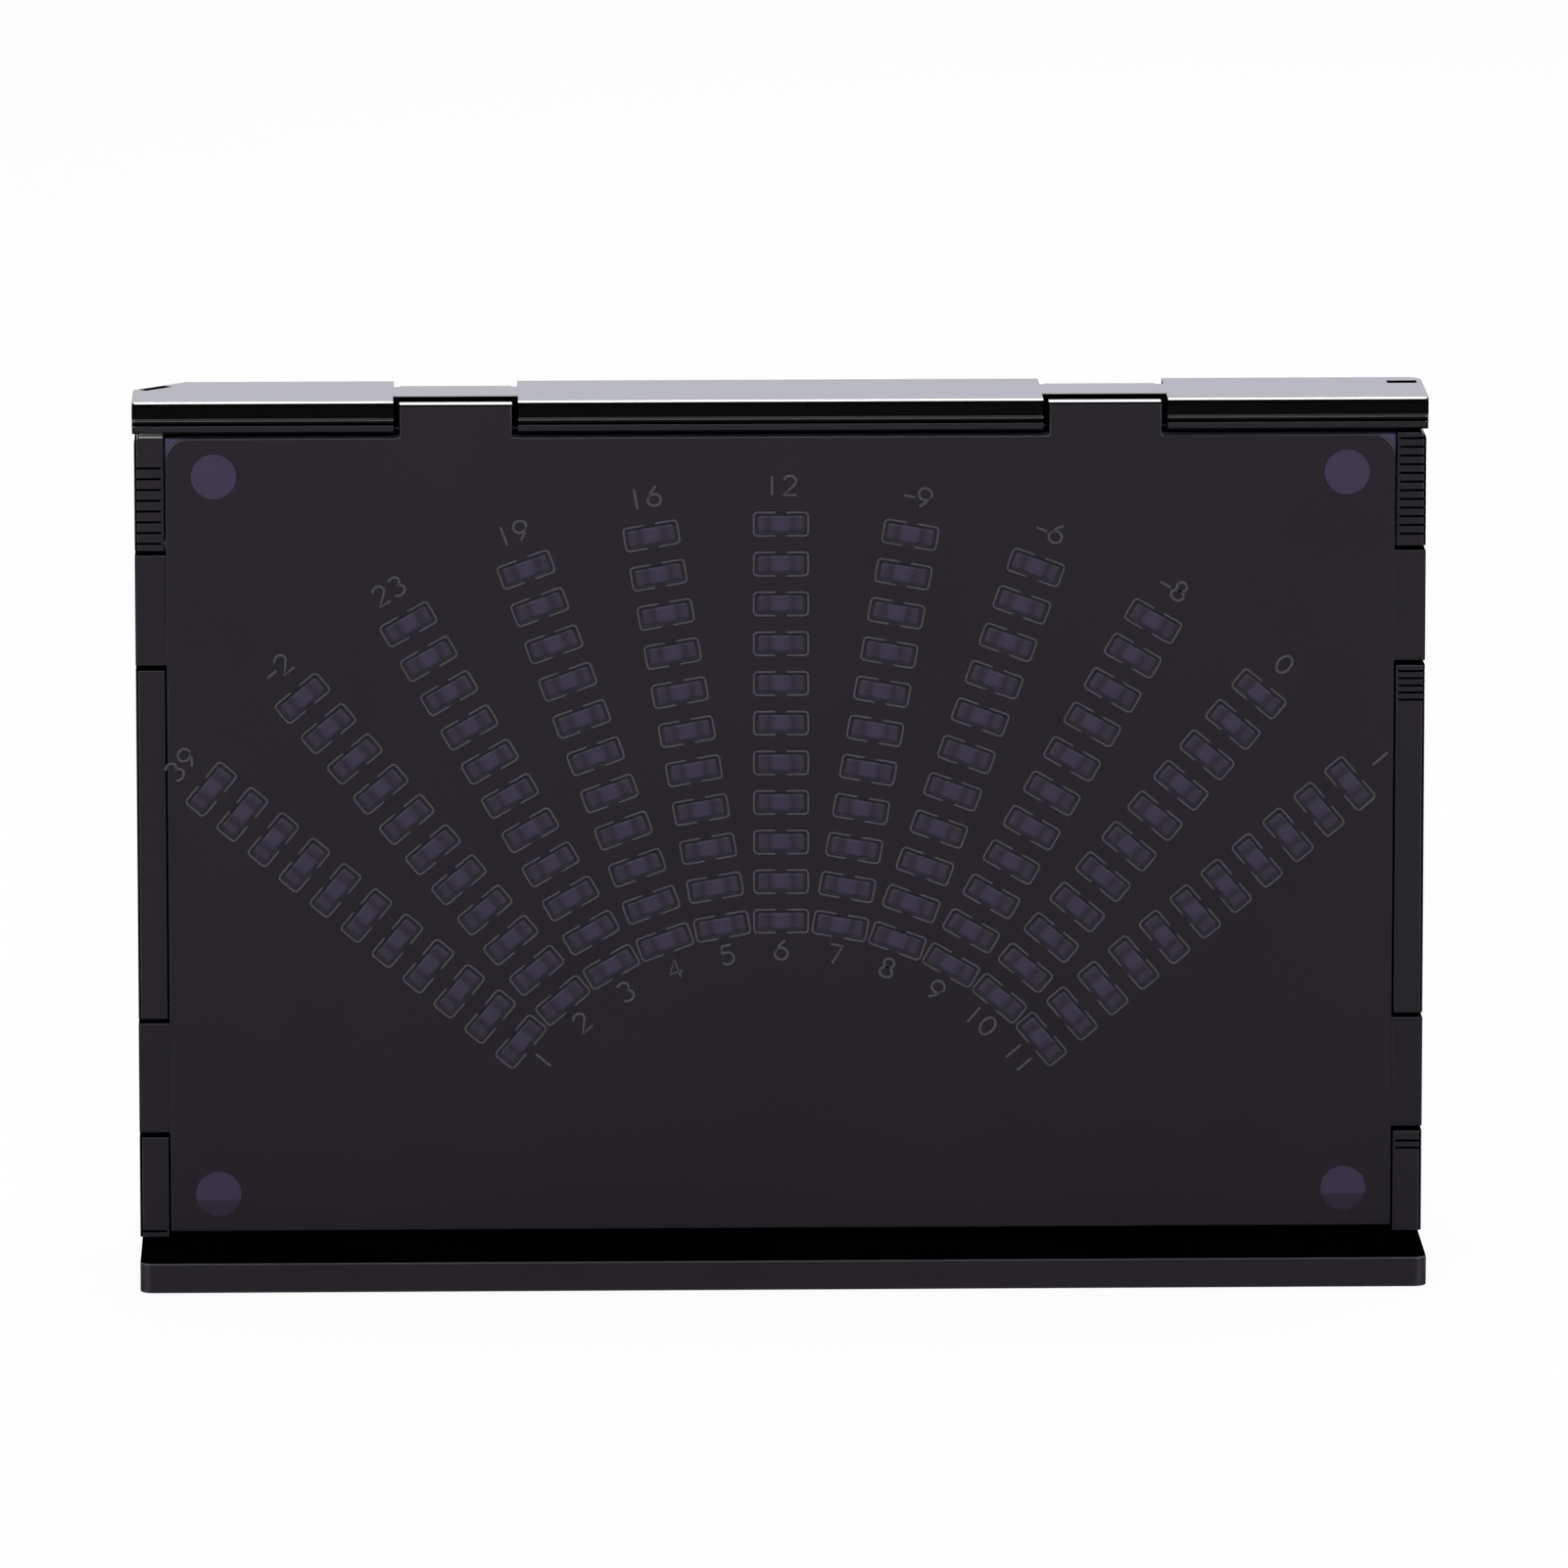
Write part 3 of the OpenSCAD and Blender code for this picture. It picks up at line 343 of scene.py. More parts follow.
def merged_triangles(node):
    """A node's points and triangles, with points closer than a micron made one."""
    mesh = nodes[node].data
    points = np.empty(len(mesh.vertices) * 3)
    mesh.vertices.foreach_get("co", points)
    corners = np.empty(len(mesh.loops), int)
    mesh.loops.foreach_get("vertex_index", corners)
    points = points.reshape(-1, 3)
    grid = np.round(points / (0.001 * MM)).astype(np.int64)
    _, first, back = np.unique(grid, axis=0, return_index=True, return_inverse=True)
    triangles = back.reshape(-1)[corners].reshape(-1, 3)
    flat = (triangles[:, 0] == triangles[:, 1]) | (triangles[:, 1] == triangles[:, 2])
    flat |= triangles[:, 2] == triangles[:, 0]
    return points[first], triangles[~flat]


def add_piece(name, points, faces, material, body, sharp=30):
    """A mesh object from arrays of points and faces, which rides on a body. Edges that turn by more
    than sharp degrees stay sharp."""
    mesh = bpy.data.meshes.new(name)
    mesh.from_pydata(np.asarray(points).tolist(), [], np.asarray(faces).tolist())
    mesh.validate()
    mesh.polygons.foreach_set("use_smooth", np.ones(len(mesh.polygons), bool))
    mesh.set_sharp_from_angle(angle=math.radians(sharp))
    mesh.materials.append(material)
    piece = bpy.data.objects.new(name, mesh)
    bpy.context.scene.collection.objects.link(piece)
    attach(piece, body)
    return piece


def body_of(node):
    """The CAD body that a node belongs to."""
    return nodes[node]["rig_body"]


def join_flat_faces(mesh):
    """Joins the triangles of each flat face again."""
    shape = bmesh.new()
    shape.from_mesh(mesh)
    bmesh.ops.dissolve_limit(shape, angle_limit=math.radians(0.5), verts=shape.verts, edges=shape.edges)
    shape.to_mesh(mesh)
    shape.free()


def weigh_edges(mesh, weight_of, angle=40):
    """Gives every edge whose faces turn by more than angle the bevel weight weight_of(ends), where ends
    are its two points. Every other edge gets 0."""
    shape = bmesh.new()
    shape.from_mesh(mesh)
    turns = np.array([edge.calc_face_angle(0.0) for edge in shape.edges])
    ends = np.array([[vertex.co[:] for vertex in edge.verts] for edge in shape.edges])
    shape.free()
    weights = np.where(turns > math.radians(angle), weight_of(ends), 0.0)
    store = mesh.attributes.new("bevel_weight_edge", "FLOAT", "EDGE")
    store.data.foreach_set("value", weights.astype(np.float32))
    return int((weights > 0).sum())


def every_edge(ends):
    """The same bevel weight for every edge."""
    return np.ones(len(ends))


def bevelled(node, material, width, weight_of=every_edge):
    """A bevelled copy of a CAD node, which stands for it."""
    points, triangles = merged_triangles(node)
    piece = add_piece(node + "_moulding", points, triangles, material, body_of(node))
    join_flat_faces(piece.data)
    piece.data.set_sharp_from_angle(angle=math.radians(30))
    count = weigh_edges(piece.data, weight_of)
    rounding = piece.modifiers.new("moulded_edge", "BEVEL")
    rounding.width = width
    rounding.segments = 3
    rounding.limit_method = "WEIGHT"
    rounding.use_clamp_overlap = False
    rounding.harden_normals = True
    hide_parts(node)
    print(piece.name, count, "bevelled edges")
    return piece


# %% [markdown]
# ## The fan
# The windows stand in eleven columns that spread like a hand of cards. Each column is a ray from one
# centre below the panel, and the rings are equally spaced along it. Everything on the fan is drawn once
# about the middle column, at the fan's centre, and then pushed out to its ring and turned to its column.

# %% The fan's sizes, from the panel's edges
PANEL_LOW, PANEL_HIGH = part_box("purple_sheet")
COLUMNS = 11
RINGS = 11
FAN_CENTRE_Z = PANEL_LOW.z - 7 * MM
OUTER_RING = PANEL_HIGH.z - 23.2 * MM - FAN_CENTRE_Z
HALF_ANGLE = math.asin((PANEL_HIGH.x - 11.4 * MM) / OUTER_RING)
COLUMN_STEP = 2 * HALF_ANGLE / (COLUMNS - 1)
WINDOW = (13.6 * MM, 5.5 * MM)
WINDOW_WEB = 2 * MM
INNER_RING = (WINDOW[0] + WINDOW_WEB) / (2 * math.sin(COLUMN_STEP / 2))
RING_PITCH = (OUTER_RING - INNER_RING) / (RINGS - 1)
column_angles = (np.arange(COLUMNS) - (COLUMNS - 1) / 2) * COLUMN_STEP
ring_radii = INNER_RING + np.arange(RINGS) * RING_PITCH
print("fan: step", round(math.degrees(COLUMN_STEP), 2), "degrees")
print("fan: rings every", round(RING_PITCH / MM, 2), "mm")


def on_fan(points, angle, radius):
    """Points drawn about the fan's centre, pushed out along Z by radius and turned about Y by angle, so
    that a point at (x, z) goes to x cos + z sin along X and z cos - x sin along Z."""
    x, y, z = np.broadcast_arrays(points[..., 0], points[..., 1], points[..., 2] + radius)
    across = x * np.cos(angle) + z * np.sin(angle)
    up = z * np.cos(angle) - x * np.sin(angle)
    return np.stack([across, np.broadcast_to(y, across.shape), FAN_CENTRE_Z + up], -1)


def grid_faces(rows, columns, start=0):
    """The quads of a grid of points that is rows by columns, counted from start."""
    corner = start + np.arange(rows * columns).reshape(rows, columns)
    return np.stack([corner[:-1, :-1], corner[:-1, 1:], corner[1:, 1:], corner[1:, :-1]], -1).reshape(-1, 4)


# %% [markdown]
# Each window has a thin light outline, open in the middle of its two long sides. It is a raised
# bead: its path is half of a rounded rectangle, and its profile has four points, so one grid
# of path times profile makes it. The other half is the same grid mirrored.

# %% Window outlines
BEAD_W = 0.5 * MM
BEAD_RISE = 0.06 * MM
BEAD_OPENING = 3 * MM


def half_outline(half_w, half_h, radius, opening, steps=4):
    """Half of a rounded rectangle in X and Z: along the top from the opening, round two corners, and back
    along the bottom. Each corner is a quarter of a circle."""
    turn = np.linspace(0, math.pi / 2, steps + 1)
    top = np.stack([half_w - radius + radius * np.sin(turn), half_h - radius + radius * np.cos(turn)], -1)
    foot = top[::-1] * (1, -1)
    ends = np.array([[opening / 2, half_h], [opening / 2, -half_h]])
    return np.concatenate([ends[:1], top, foot, ends[1:]])


def window_outlines():
    """All the outlines as one piece: 121 windows with two beads each."""
    half_w, half_h = WINDOW[0] / 2, WINDOW[1] / 2
    gap = 0.08 * MM
    # The four points of the profile: how far out from the window's edge, and how far back
    insets = [BEAD_W + gap, BEAD_W + gap - 0.04 * MM, gap + 0.04 * MM, gap]
    levels = [FRONT_Y + 0.02 * MM, FRONT_Y - BEAD_RISE, FRONT_Y - BEAD_RISE, FRONT_Y + 0.02 * MM]
    rows = []
    for inset, level in zip(insets, levels):
        path = half_outline(half_w + inset, half_h + inset, 0.7 * MM + inset, BEAD_OPENING)
        rows.append(np.stack([path[:, 0], np.full(len(path), level), path[:, 1]], -1))
    half = np.stack(rows, 1)
    length = len(half)
    quads = grid_faces(length, 4)
    caps = np.array([[0, 1, 2, 3], [4 * length - 1, 4 * length - 2, 4 * length - 3, 4 * length - 4]])
    quads = np.concatenate([quads, caps])
    points = half.reshape(-1, 3)
    mirrored = points * (-1, 1, 1)
    pair = np.concatenate([points, mirrored])
    pair_faces = np.concatenate([quads, quads[:, ::-1] + len(points)])
    placed = on_fan(pair, column_angles[:, None, None], ring_radii[None, :, None])
    count = COLUMNS * RINGS
    offsets = np.arange(count)[:, None, None] * len(pair)
    faces = (pair_faces[None] + offsets).reshape(-1, 4)
    return placed.reshape(-1, 3), faces


points, faces = window_outlines()
outlines = add_piece("window_outlines", points, faces, grey_ink, "front_door", sharp=60)
print("window outlines:", len(faces), "faces")

# %% [markdown]
# A marker strip carries eleven markers. Seen from above, a marker has a broad crown in the middle, a
# hollow on each side of it and a low swell at each end, and all its edges are rounded. That is one
# height over a grid: the sum of a wide bell and two narrow ones, minus a steep fall near the rim.

# %% Marker strips
MARKER = (12 * MM, 4.2 * MM)
SHEET_Y = FRONT_Y + 3 * MM
MARKER_FACE = FRONT_Y + 0.55 * MM
SHADE_COLLAR_DEPTH = 0.5 * MM


def rounded_loop(half_w, half_h, radius, steps=4):
    """A closed loop round a rounded rectangle in X and Z, clockwise from the middle of its right side."""
    turn = np.linspace(0, math.pi / 2, steps + 1)
    x = half_w - radius + radius * np.cos(turn)
    z = half_h - radius + radius * np.sin(turn)
    corner = np.stack([x, z], -1)
    left = corner[::-1] * (-1, 1)
    return np.concatenate([corner, left, corner * (-1, -1), left * (-1, -1)])


def marker_surface(columns=33, rows=9):
    """One marker about the origin as a grid in X and Z. Its height is a crown exp(-(2u)^4), two swells near
    u = 0.8 and a rim that falls as the sixth power, where u and v go from -1 to 1."""
    squeeze = np.sin(np.linspace(-1, 1, columns) * math.pi / 2)
    u = 0.35 * squeeze + 0.65 * np.linspace(-1, 1, columns)
    v = np.sin(np.linspace(-1, 1, rows) * math.pi / 2)
    u, v = np.meshgrid(u, v, indexing="ij")
    crown = 0.3 * MM * np.exp(-((u / 0.42) ** 4))
    swell = 0.16 * MM * np.exp(-(((np.abs(u) - 0.8) / 0.2) ** 2))
    rim = 0.12 * MM * (np.abs(u) ** 60 + np.abs(v) ** 30)
    height = crown + swell - rim
    x, z = u * MARKER[0] / 2, v * MARKER[1] / 2
    return np.stack([x, MARKER_FACE - height, z], -1), np.abs(u)


def marker_strip(column):
    """A column's strip: its flat carrier, and its markers with their walls down to the carrier."""
    top, along = marker_surface()
    rows, columns = top.shape[:2]
    ring = np.concatenate([top[:, 0], top[-1, 1:], top[-2::-1, -1], top[0, -2:0:-1]])
    ring_along = np.concatenate([along[:, 0], along[-1, 1:], along[-2::-1, -1], along[0, -2:0:-1]])
    foot = ring.copy()
    foot[:, 1] = SHEET_Y + 0.05 * MM
    one = np.concatenate([top.reshape(-1, 3), ring, foot])
    value = np.concatenate([along.ravel(), ring_along, ring_along])
    quads = grid_faces(rows, columns)
    a = rows * columns + np.arange(len(ring))
    b = np.roll(a, -1)
    wall = np.stack([a, a + len(ring), b + len(ring), b], -1)
    one_faces = np.concatenate([quads[:, ::-1], wall[:, ::-1]])
    angle = column_angles[column]
    placed = on_fan(one[None], angle, ring_radii[:, None]).reshape(-1, 3)
    faces = (one_faces[None] + np.arange(RINGS)[:, None, None] * len(one)).reshape(-1, 4)
    return placed, faces, np.tile(value, RINGS)


def carrier(column):
    """The flat strip under a column's markers, as a closed box with the CAD strip's size."""
    half_w = WINDOW[0] / 2 + 0.2 * MM
    end = WINDOW[1] / 2 + 0.5 * MM
    x = np.array([-half_w, half_w])
    y = np.array([SHEET_Y, SHEET_Y + 1.2 * MM])
    z = np.array([INNER_RING - end, OUTER_RING + end])
    corners = np.stack(np.meshgrid(x, y, z, indexing="ij"), -1).reshape(-1, 3)
    sides = [[0, 1, 3, 2], [4, 6, 7, 5], [0, 4, 5, 1], [2, 3, 7, 6], [0, 2, 6, 4], [1, 5, 7, 3]]
    return on_fan(corners, column_angles[column], 0.0), np.array(sides)


def window_collars():
    """A flat black frame in every window, from just inside the window's edge to the marker's foot, as
    painted shade.
    """
    outer = rounded_loop(WINDOW[0] / 2 - 0.04 * MM, WINDOW[1] / 2 - 0.04 * MM, 0.85 * MM)
    inner = rounded_loop(MARKER[0] / 2 - 0.1 * MM, MARKER[1] / 2 - 0.1 * MM, 0.4 * MM)
    depths = [FRONT_Y + SHADE_COLLAR_DEPTH + 1 * MM, FRONT_Y + SHADE_COLLAR_DEPTH, FRONT_Y + SHADE_COLLAR_DEPTH, SHEET_Y]
    loops = [outer, outer, inner, inner]
    rows = [np.stack([loop[:, 0], np.full(len(loop), y), loop[:, 1]], -1) for loop, y in zip(loops, depths)]
    one = np.concatenate(rows)
    size = len(outer)
    a = np.arange(3)[:, None] * size + np.arange(size)
    b = np.arange(3)[:, None] * size + (np.arange(size) + 1) % size
    one_faces = np.stack([a, a + size, b + size, b], -1).reshape(-1, 4)
    placed = on_fan(one, column_angles[:, None, None], ring_radii[None, :, None])
    starts = np.arange(COLUMNS * RINGS)[:, None, None] * len(one)
    return placed.reshape(-1, 3), (one_faces + starts).reshape(-1, 4)


points, faces = window_collars()
# Painted shade: a black frame inside every window
shade_collars = add_piece("window_collars", points, faces, painted_shade_collar, "front_door", sharp=40)

for column in range(COLUMNS):
    marks, mark_faces, along = marker_strip(column)
    plate, plate_faces = carrier(column)
    name = f"marker_strip_{column + 1}"
    points = np.concatenate([marks, plate])
    faces = np.concatenate([mark_faces, plate_faces + len(marks)])
    # The markers carry painted shade and highlight along their length
    strip = add_piece(name + "_moulding", points, faces, marker_purple_painted_shade, "front_door", sharp=50)
    value = np.concatenate([along, np.full(len(plate), 0.5)])
    corner_points = np.empty(len(strip.data.loops), int)
    strip.data.loops.foreach_get("vertex_index", corner_points)
    uv = strip.data.uv_layers.new(name="along")
    uv.data.foreach_set("uv", np.stack([value[corner_points], np.zeros(len(corner_points))], -1).ravel())
    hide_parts(name)
print("marker strips:", COLUMNS, "with", RINGS, "markers each")

# %% [markdown]
# Plain numbers stand inside the innermost ring and outside the outermost one, upright along their
# column. Each digit is one thin stroke, as an engraving tool draws it: a path of straight lines and
# arcs, which is widened to a ribbon to both sides.

# %% Numbers
INNER_NUMBERS = [str(n) for n in range(1, COLUMNS + 1)]
OUTER_NUMBERS = ["39", "-2", "23", "19", "16", "12", "-9", "-6", "-8", "0", "1"]
NUMBER_H = 5.1 * MM
NUMBER_STROKE = 0.62 * MM
NUMBER_RISE = 0.04 * MM


def arc(x, y, rx, ry, start, end, steps=12):
    """Points on an ellipse about (x, y), from a start angle to an end angle in degrees."""
    turn = np.radians(np.linspace(start, end, steps))
    return [(x + rx * math.cos(a), y + ry * math.sin(a)) for a in turn]


# Each digit in a box one unit high, about x = 0
SIX = [(0.2, 1.0), (-0.12, 0.72)] + arc(0, 0.31, 0.34, 0.31, 155, -205, 18)
DIGITS = {
    "0": arc(0, 0.5, 0.34, 0.5, 90, 450, 18),
    "1": [(0, 0), (0, 1)],
    "2": arc(0, 0.72, 0.31, 0.28, 165, -35) + [(-0.34, 0), (0.34, 0)],
    "3": arc(-0.03, 0.76, 0.3, 0.24, 145, -80) + arc(-0.03, 0.27, 0.34, 0.27, 80, -150),
    "4": [(0.14, 0), (0.14, 1), (-0.34, 0.3), (0.34, 0.3)],
    "5": [(0.28, 1), (-0.2, 1), (-0.26, 0.57)] + arc(-0.02, 0.32, 0.34, 0.32, 125, -145),
    "6": SIX,
    "7": [(-0.32, 1), (0.32, 1), (-0.08, 0)],
    "8": arc(0, 0.76, 0.27, 0.24, 270, -90, 18) + arc(0, 0.26, 0.34, 0.26, 90, -270, 18),
    "9": [(-x, 1 - y) for x, y in SIX],
    "-": [(-0.3, 0.45), (0.3, 0.45)],
}
# The room that a character takes along the line, as a share of its height
ADVANCE = dict.fromkeys(DIGITS, 0.96) | {"1": 0.9, "-": 0.62}


def ribbon(path, width, level):
    """A flat ribbon along a path in X and Z. Each point is moved to both sides along the mean normal of
    the two lines that meet there."""
    path = np.asarray(path, float)
    step = np.diff(path, axis=0)
    step /= np.linalg.norm(step, axis=1, keepdims=True) + 1e-12
    along = np.concatenate([step[:1], step[:-1] + step[1:], step[-1:]])
    along /= np.linalg.norm(along, axis=1, keepdims=True) + 1e-12
    side = along[:, ::-1] * (-1, 1) * width / 2
    flat = np.stack([path + side, path - side], 1)
    points = np.stack([flat[..., 0], np.full(flat.shape[:2], level), flat[..., 1]], -1)
    return points.reshape(-1, 3), grid_faces(len(path), 2)


def number_ring(texts, radius):
    """A number on every column, with its middle at one radius, as points and faces."""
    all_points, all_faces, count = [], [], 0
    for text, angle in zip(texts, column_angles):
        steps = [ADVANCE[first] / 2 + ADVANCE[second] / 2 for first, second in zip(text, text[1:])]
        places = np.cumsum([0] + steps)
        for character, place in zip(text, places - places[-1] / 2):
            path = (np.array(DIGITS[character]) + (place, -0.5)) * NUMBER_H
            points, faces = ribbon(path, NUMBER_STROKE, FRONT_Y - NUMBER_RISE)
            all_points.append(on_fan(points, angle, radius))
            all_faces.append(faces + count)
            count += len(points)
    return np.concatenate(all_points), np.concatenate(all_faces)


for name, texts, radius in (
    ("inner_ring_numbers", INNER_NUMBERS, INNER_RING - 7.7 * MM),
    ("outer_ring_numbers", OUTER_NUMBERS, OUTER_RING + 10.3 * MM),
):
    points, faces = number_ring(texts, radius)
    numbers = add_piece(name, points, faces, grey_ink, "front_door")
    print(name, len(faces), "faces")

# %% [markdown]
# ## The mouldings
# The outer pieces get bevelled copies. Only the edges that a hand meets are rounded: a bevel weight of 0
# keeps the windows and the grip grooves crisp.

# %% Which edges are rounded
# The discs' middles, and a radius just past their seats
DISC_X, DISC_R = 148.4 * MM, 7 * MM
DISC_Z = (20.6 * MM, 212.1 * MM)
TAB_TOP_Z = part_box("door_panel")[1].z
RAIL_LOW, RAIL_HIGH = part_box("top_rail")
# Tolerances: a point this close to a plane counts as on it, or as near it
TOUCH, NEAR = 0.05 * MM, 0.1 * MM


def door_edges(ends):
    """The outline of the panel and its tabs, without the windows, the disc seats and the tabs' tops."""
    middle = ends.mean(1)
    x, z = np.abs(middle[:, 0]), middle[:, 2]
    outline = (x > 153 * MM) | (z > 205 * MM) | (z < 14 * MM)
    disc = np.min([np.hypot(x - DISC_X, z - height) for height in DISC_Z], axis=0) < DISC_R
    return (outline & ~disc & (z < TAB_TOP_Z - NEAR)).astype(float)


def outline_edges(node):
    """A rule for a side piece: its outline, without the mouths of its grooves."""
    low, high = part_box(node)
    outer = max(abs(low.x), abs(high.x))
    inner = min(abs(low.x), abs(high.x))
    corner_size = 2.3 * MM

    def weight_of(ends):
        size = ends.max(1) - ends.min(1)
        middle = ends.mean(1)
        x, z = np.abs(middle[:, 0]), middle[:, 2]
        level = (z > high.z - TOUCH) | (z < low.z + TOUCH)
        upright = (np.minimum(outer - x, x - inner) < TOUCH) & (size[:, 2] > 0.5 * MM)
        corner = (outer - x < corner_size) & (high.z - z < corner_size) & (size[:, 1] < NEAR)
        return (level | upright | corner).astype(float)

    return weight_of


# %% Outer mouldings
foot = bevelled("foot_plate", satin_black, 0.3 * MM)
rail = bevelled("top_rail", gloss_black, 0.12 * MM)
bevelled("rear_cover", satin_black, 0.25 * MM)
side_names = (
    "latch_left",
    "latch_right",
    "ship_face_left",
    "ship_face_right",
    "peg_face_left",
    "peg_face_right",
)
side_pieces = [
    bevelled(name, satin_black, 0.15 * MM, outline_edges(name))
    for name in side_names
]
bevelled("foot_pads", pad_rubber, 0.3 * MM)
door = bevelled("door_panel", satin_black, 0.3 * MM, door_edges)

# %% Finishes for the nodes that stay as they are
finishes = {
    gloss_black: [
        "case_shell",
        "sheet_retainer",
        "ship_tray_left",
        "ship_tray_right",
        "peg_tray_left",
        "peg_tray_right",
    ],
    purple_satin: ["purple_sheet", "corner_inlays", "pegs_left", "pegs_right"],
    # The two lower discs are darker below the bar's edge: a painted shadow
    disc_purple_painted_shadow: ["corner_discs"],
    grey_styrene: [
        "fleet_board",
        "ship_of_five",
        "ship_of_four",
        "ship_of_three",
        "second_ship_of_three",
        "ship_of_two",
    ],
    # The hinge pins get the same painted shade black
    painted_shade_black: ["hinge_pins"],
    steel: ["latch_pins", "foot_screws", "rail_screws", "cover_screws", "board_screws", "door_screws"],
}
for material, names in finishes.items():
    for name in names:
        nodes[name].data.materials.clear()
        nodes[name].data.materials.append(material)

# %% [markdown]
# ## Faces with a finish of their own
# Some faces of one moulding differ from the rest. A mesh can hold several materials, and each face
# has the number of its own. A face is split first where only a part of it differs. Each rule below
# picks faces by where their middle is and which way they look. Apart from the rail's satin band, these
# faces carry painted shade, painted highlights and a painted sheen.

# %% Second finishes
# How far a normal has to point along an axis: for a face square to it, for a slope, and for a face
# that is turned to it at all
SQUARE, SLOPED, TURNED = 0.9, 0.6, 0.3
# The depth of the rail's groove and of the grip grooves
GROOVE_D = 0.6 * MM


class Faces:
    """The middles x, y, z and the normals nx, ny, nz of a mesh's faces, as arrays. x and nx have lost
    their sign, because the case is nearly the same on both sides."""

    def __init__(self, mesh):
        middles, normals = np.empty(len(mesh.polygons) * 3), np.empty(len(mesh.polygons) * 3)
        mesh.polygons.foreach_get("center", middles)
        mesh.polygons.foreach_get("normal", normals)
        self.x, self.y, self.z = middles.reshape(-1, 3).T
        self.nx, self.ny, self.nz = normals.reshape(-1, 3).T
        self.x, self.nx = np.abs(self.x), np.abs(self.nx)


def cut_faces(piece, chosen, place, normal):
    """Splits the chosen faces along the plane through place."""
    shape = bmesh.new()
    shape.from_mesh(piece.data)
    picked = [face for face in shape.faces if chosen(face.calc_center_median(), face.normal)]
    edges = {edge for face in picked for edge in face.edges}
    points = {vertex for face in picked for vertex in face.verts}
    parts = picked + list(edges) + list(points)
    bmesh.ops.bisect_plane(shape, geom=parts, dist=1e-7, plane_co=place, plane_no=normal)
    shape.to_mesh(piece.data)
    shape.free()


def paint_faces(piece, material, chosen):
    """Gives the faces that chosen picks another material."""
    mesh = piece.data
    mesh.materials.append(material)
    numbers = np.empty(len(mesh.polygons), np.int32)
    mesh.polygons.foreach_get("material_index", numbers)
    picked = chosen(Faces(mesh))
    numbers[picked] = len(mesh.materials) - 1
    mesh.polygons.foreach_set("material_index", numbers)
    print(piece.name, int(picked.sum()), "faces in", material.name)


# %% [markdown]
# The rail has a satin band at its foot, below a bead and a polished channel, and a polished top with a
# painted violet sheen and a painted highlight along its front edge. The groove above the band, the notches
# for the hinge tabs and the recesses in the top are painted black and dull, as painted shade.

# %% The rail
rail_top = RAIL_HIGH.z
BAND_H = 2.1 * MM
# The groove's middle, and a little more than half its height
GROOVE_Z, GROOVE_HALF = RAIL_LOW.z + 2.33 * MM, 0.35 * MM
# How far from the middle the notches reach at most, and where the rail's ends begin
NOTCH_X, END_X = 110 * MM, RAIL_HIGH.x - 5 * MM
# The recesses in the top: their depth, and a line behind the last of them
RECESS_D, RECESS_Y = 2 * MM, 17 * MM


def rail_band(f):
    """The front of the band at the rail's foot."""
    return (f.z < RAIL_LOW.z + BAND_H) & (np.abs(f.ny) > TURNED) & (f.y < FRONT_Y + TOUCH)


def rail_dark(f):
    """The groove, the sides and the backs of the notches, and the recesses in the top: faces for painted
    shade.
    """
    # How far a face's middle lies in from the front plane, or from the same plane at the rear
    inset = -FRONT_Y - np.abs(f.y)
    groove = (np.abs(f.z - GROOVE_Z) < GROOVE_HALF) & (inset > TOUCH) & (inset < GROOVE_D + NEAR)
    notch_side = (f.nx > SQUARE) & (f.x < END_X)
    notch_back = (f.ny < -SQUARE) & (f.y > FRONT_Y + 2 * MM) & (f.x < NOTCH_X)
    notch_back &= (inset > TOUCH) & (np.abs(f.y) > 1 * MM)
    recess = (f.z > rail_top - RECESS_D) & (f.z < rail_top - TOUCH) & (f.y > 0) & (f.y < RECESS_Y)
    return groove | notch_side | notch_back | recess


def rail_edge(f):
    """The slope along the front of the rail's top."""
    slope = (f.nz > SLOPED) & (f.ny < -SLOPED)
    return slope & (f.y < FRONT_Y + 1 * MM) & (f.z > rail_top - 0.5 * MM)


paint_faces(rail, satin_black, rail_band)
# Painted sheen: the rail's top gets the lighter violet copy of its black
paint_faces(rail, rail_top_painted_sheen, lambda f: (f.nz > SQUARE) & (f.z > rail_top - NEAR))
# Painted shade in the groove, the notches and the recesses
paint_faces(rail, painted_shade_black, rail_dark)
# A painted highlight along the rail's front top edge
paint_faces(rail, painted_highlight_pale, rail_edge)
# The foot's top is matt, and painted almost black as a painted dark reflection
paint_faces(foot, foot_top_painted_shade, lambda f: f.nz > SQUARE)

# %% [markdown]
# A hinge tab gets a painted highlight on its top, with a painted black shade line along its front, so the
# top is cut in two along that line. The ends of the side tabs, the sides of the hinge tabs and the panel's
# own sides are painted black, as painted shade that keeps the gaps round the door dark.

# %% The door
TAB_SHADE_LINE = 3.2 * MM
cut_faces(
    door,
    lambda middle, normal: normal.z > SQUARE and middle.z > TAB_TOP_Z - NEAR,
    Vector((0, FRONT_Y + TAB_SHADE_LINE, 0)),
    Vector((0, 1, 0)),
)


def tab_top(f):
    """The tops of the hinge tabs."""
    return (f.nz > SQUARE) & (f.z > TAB_TOP_Z - NEAR)


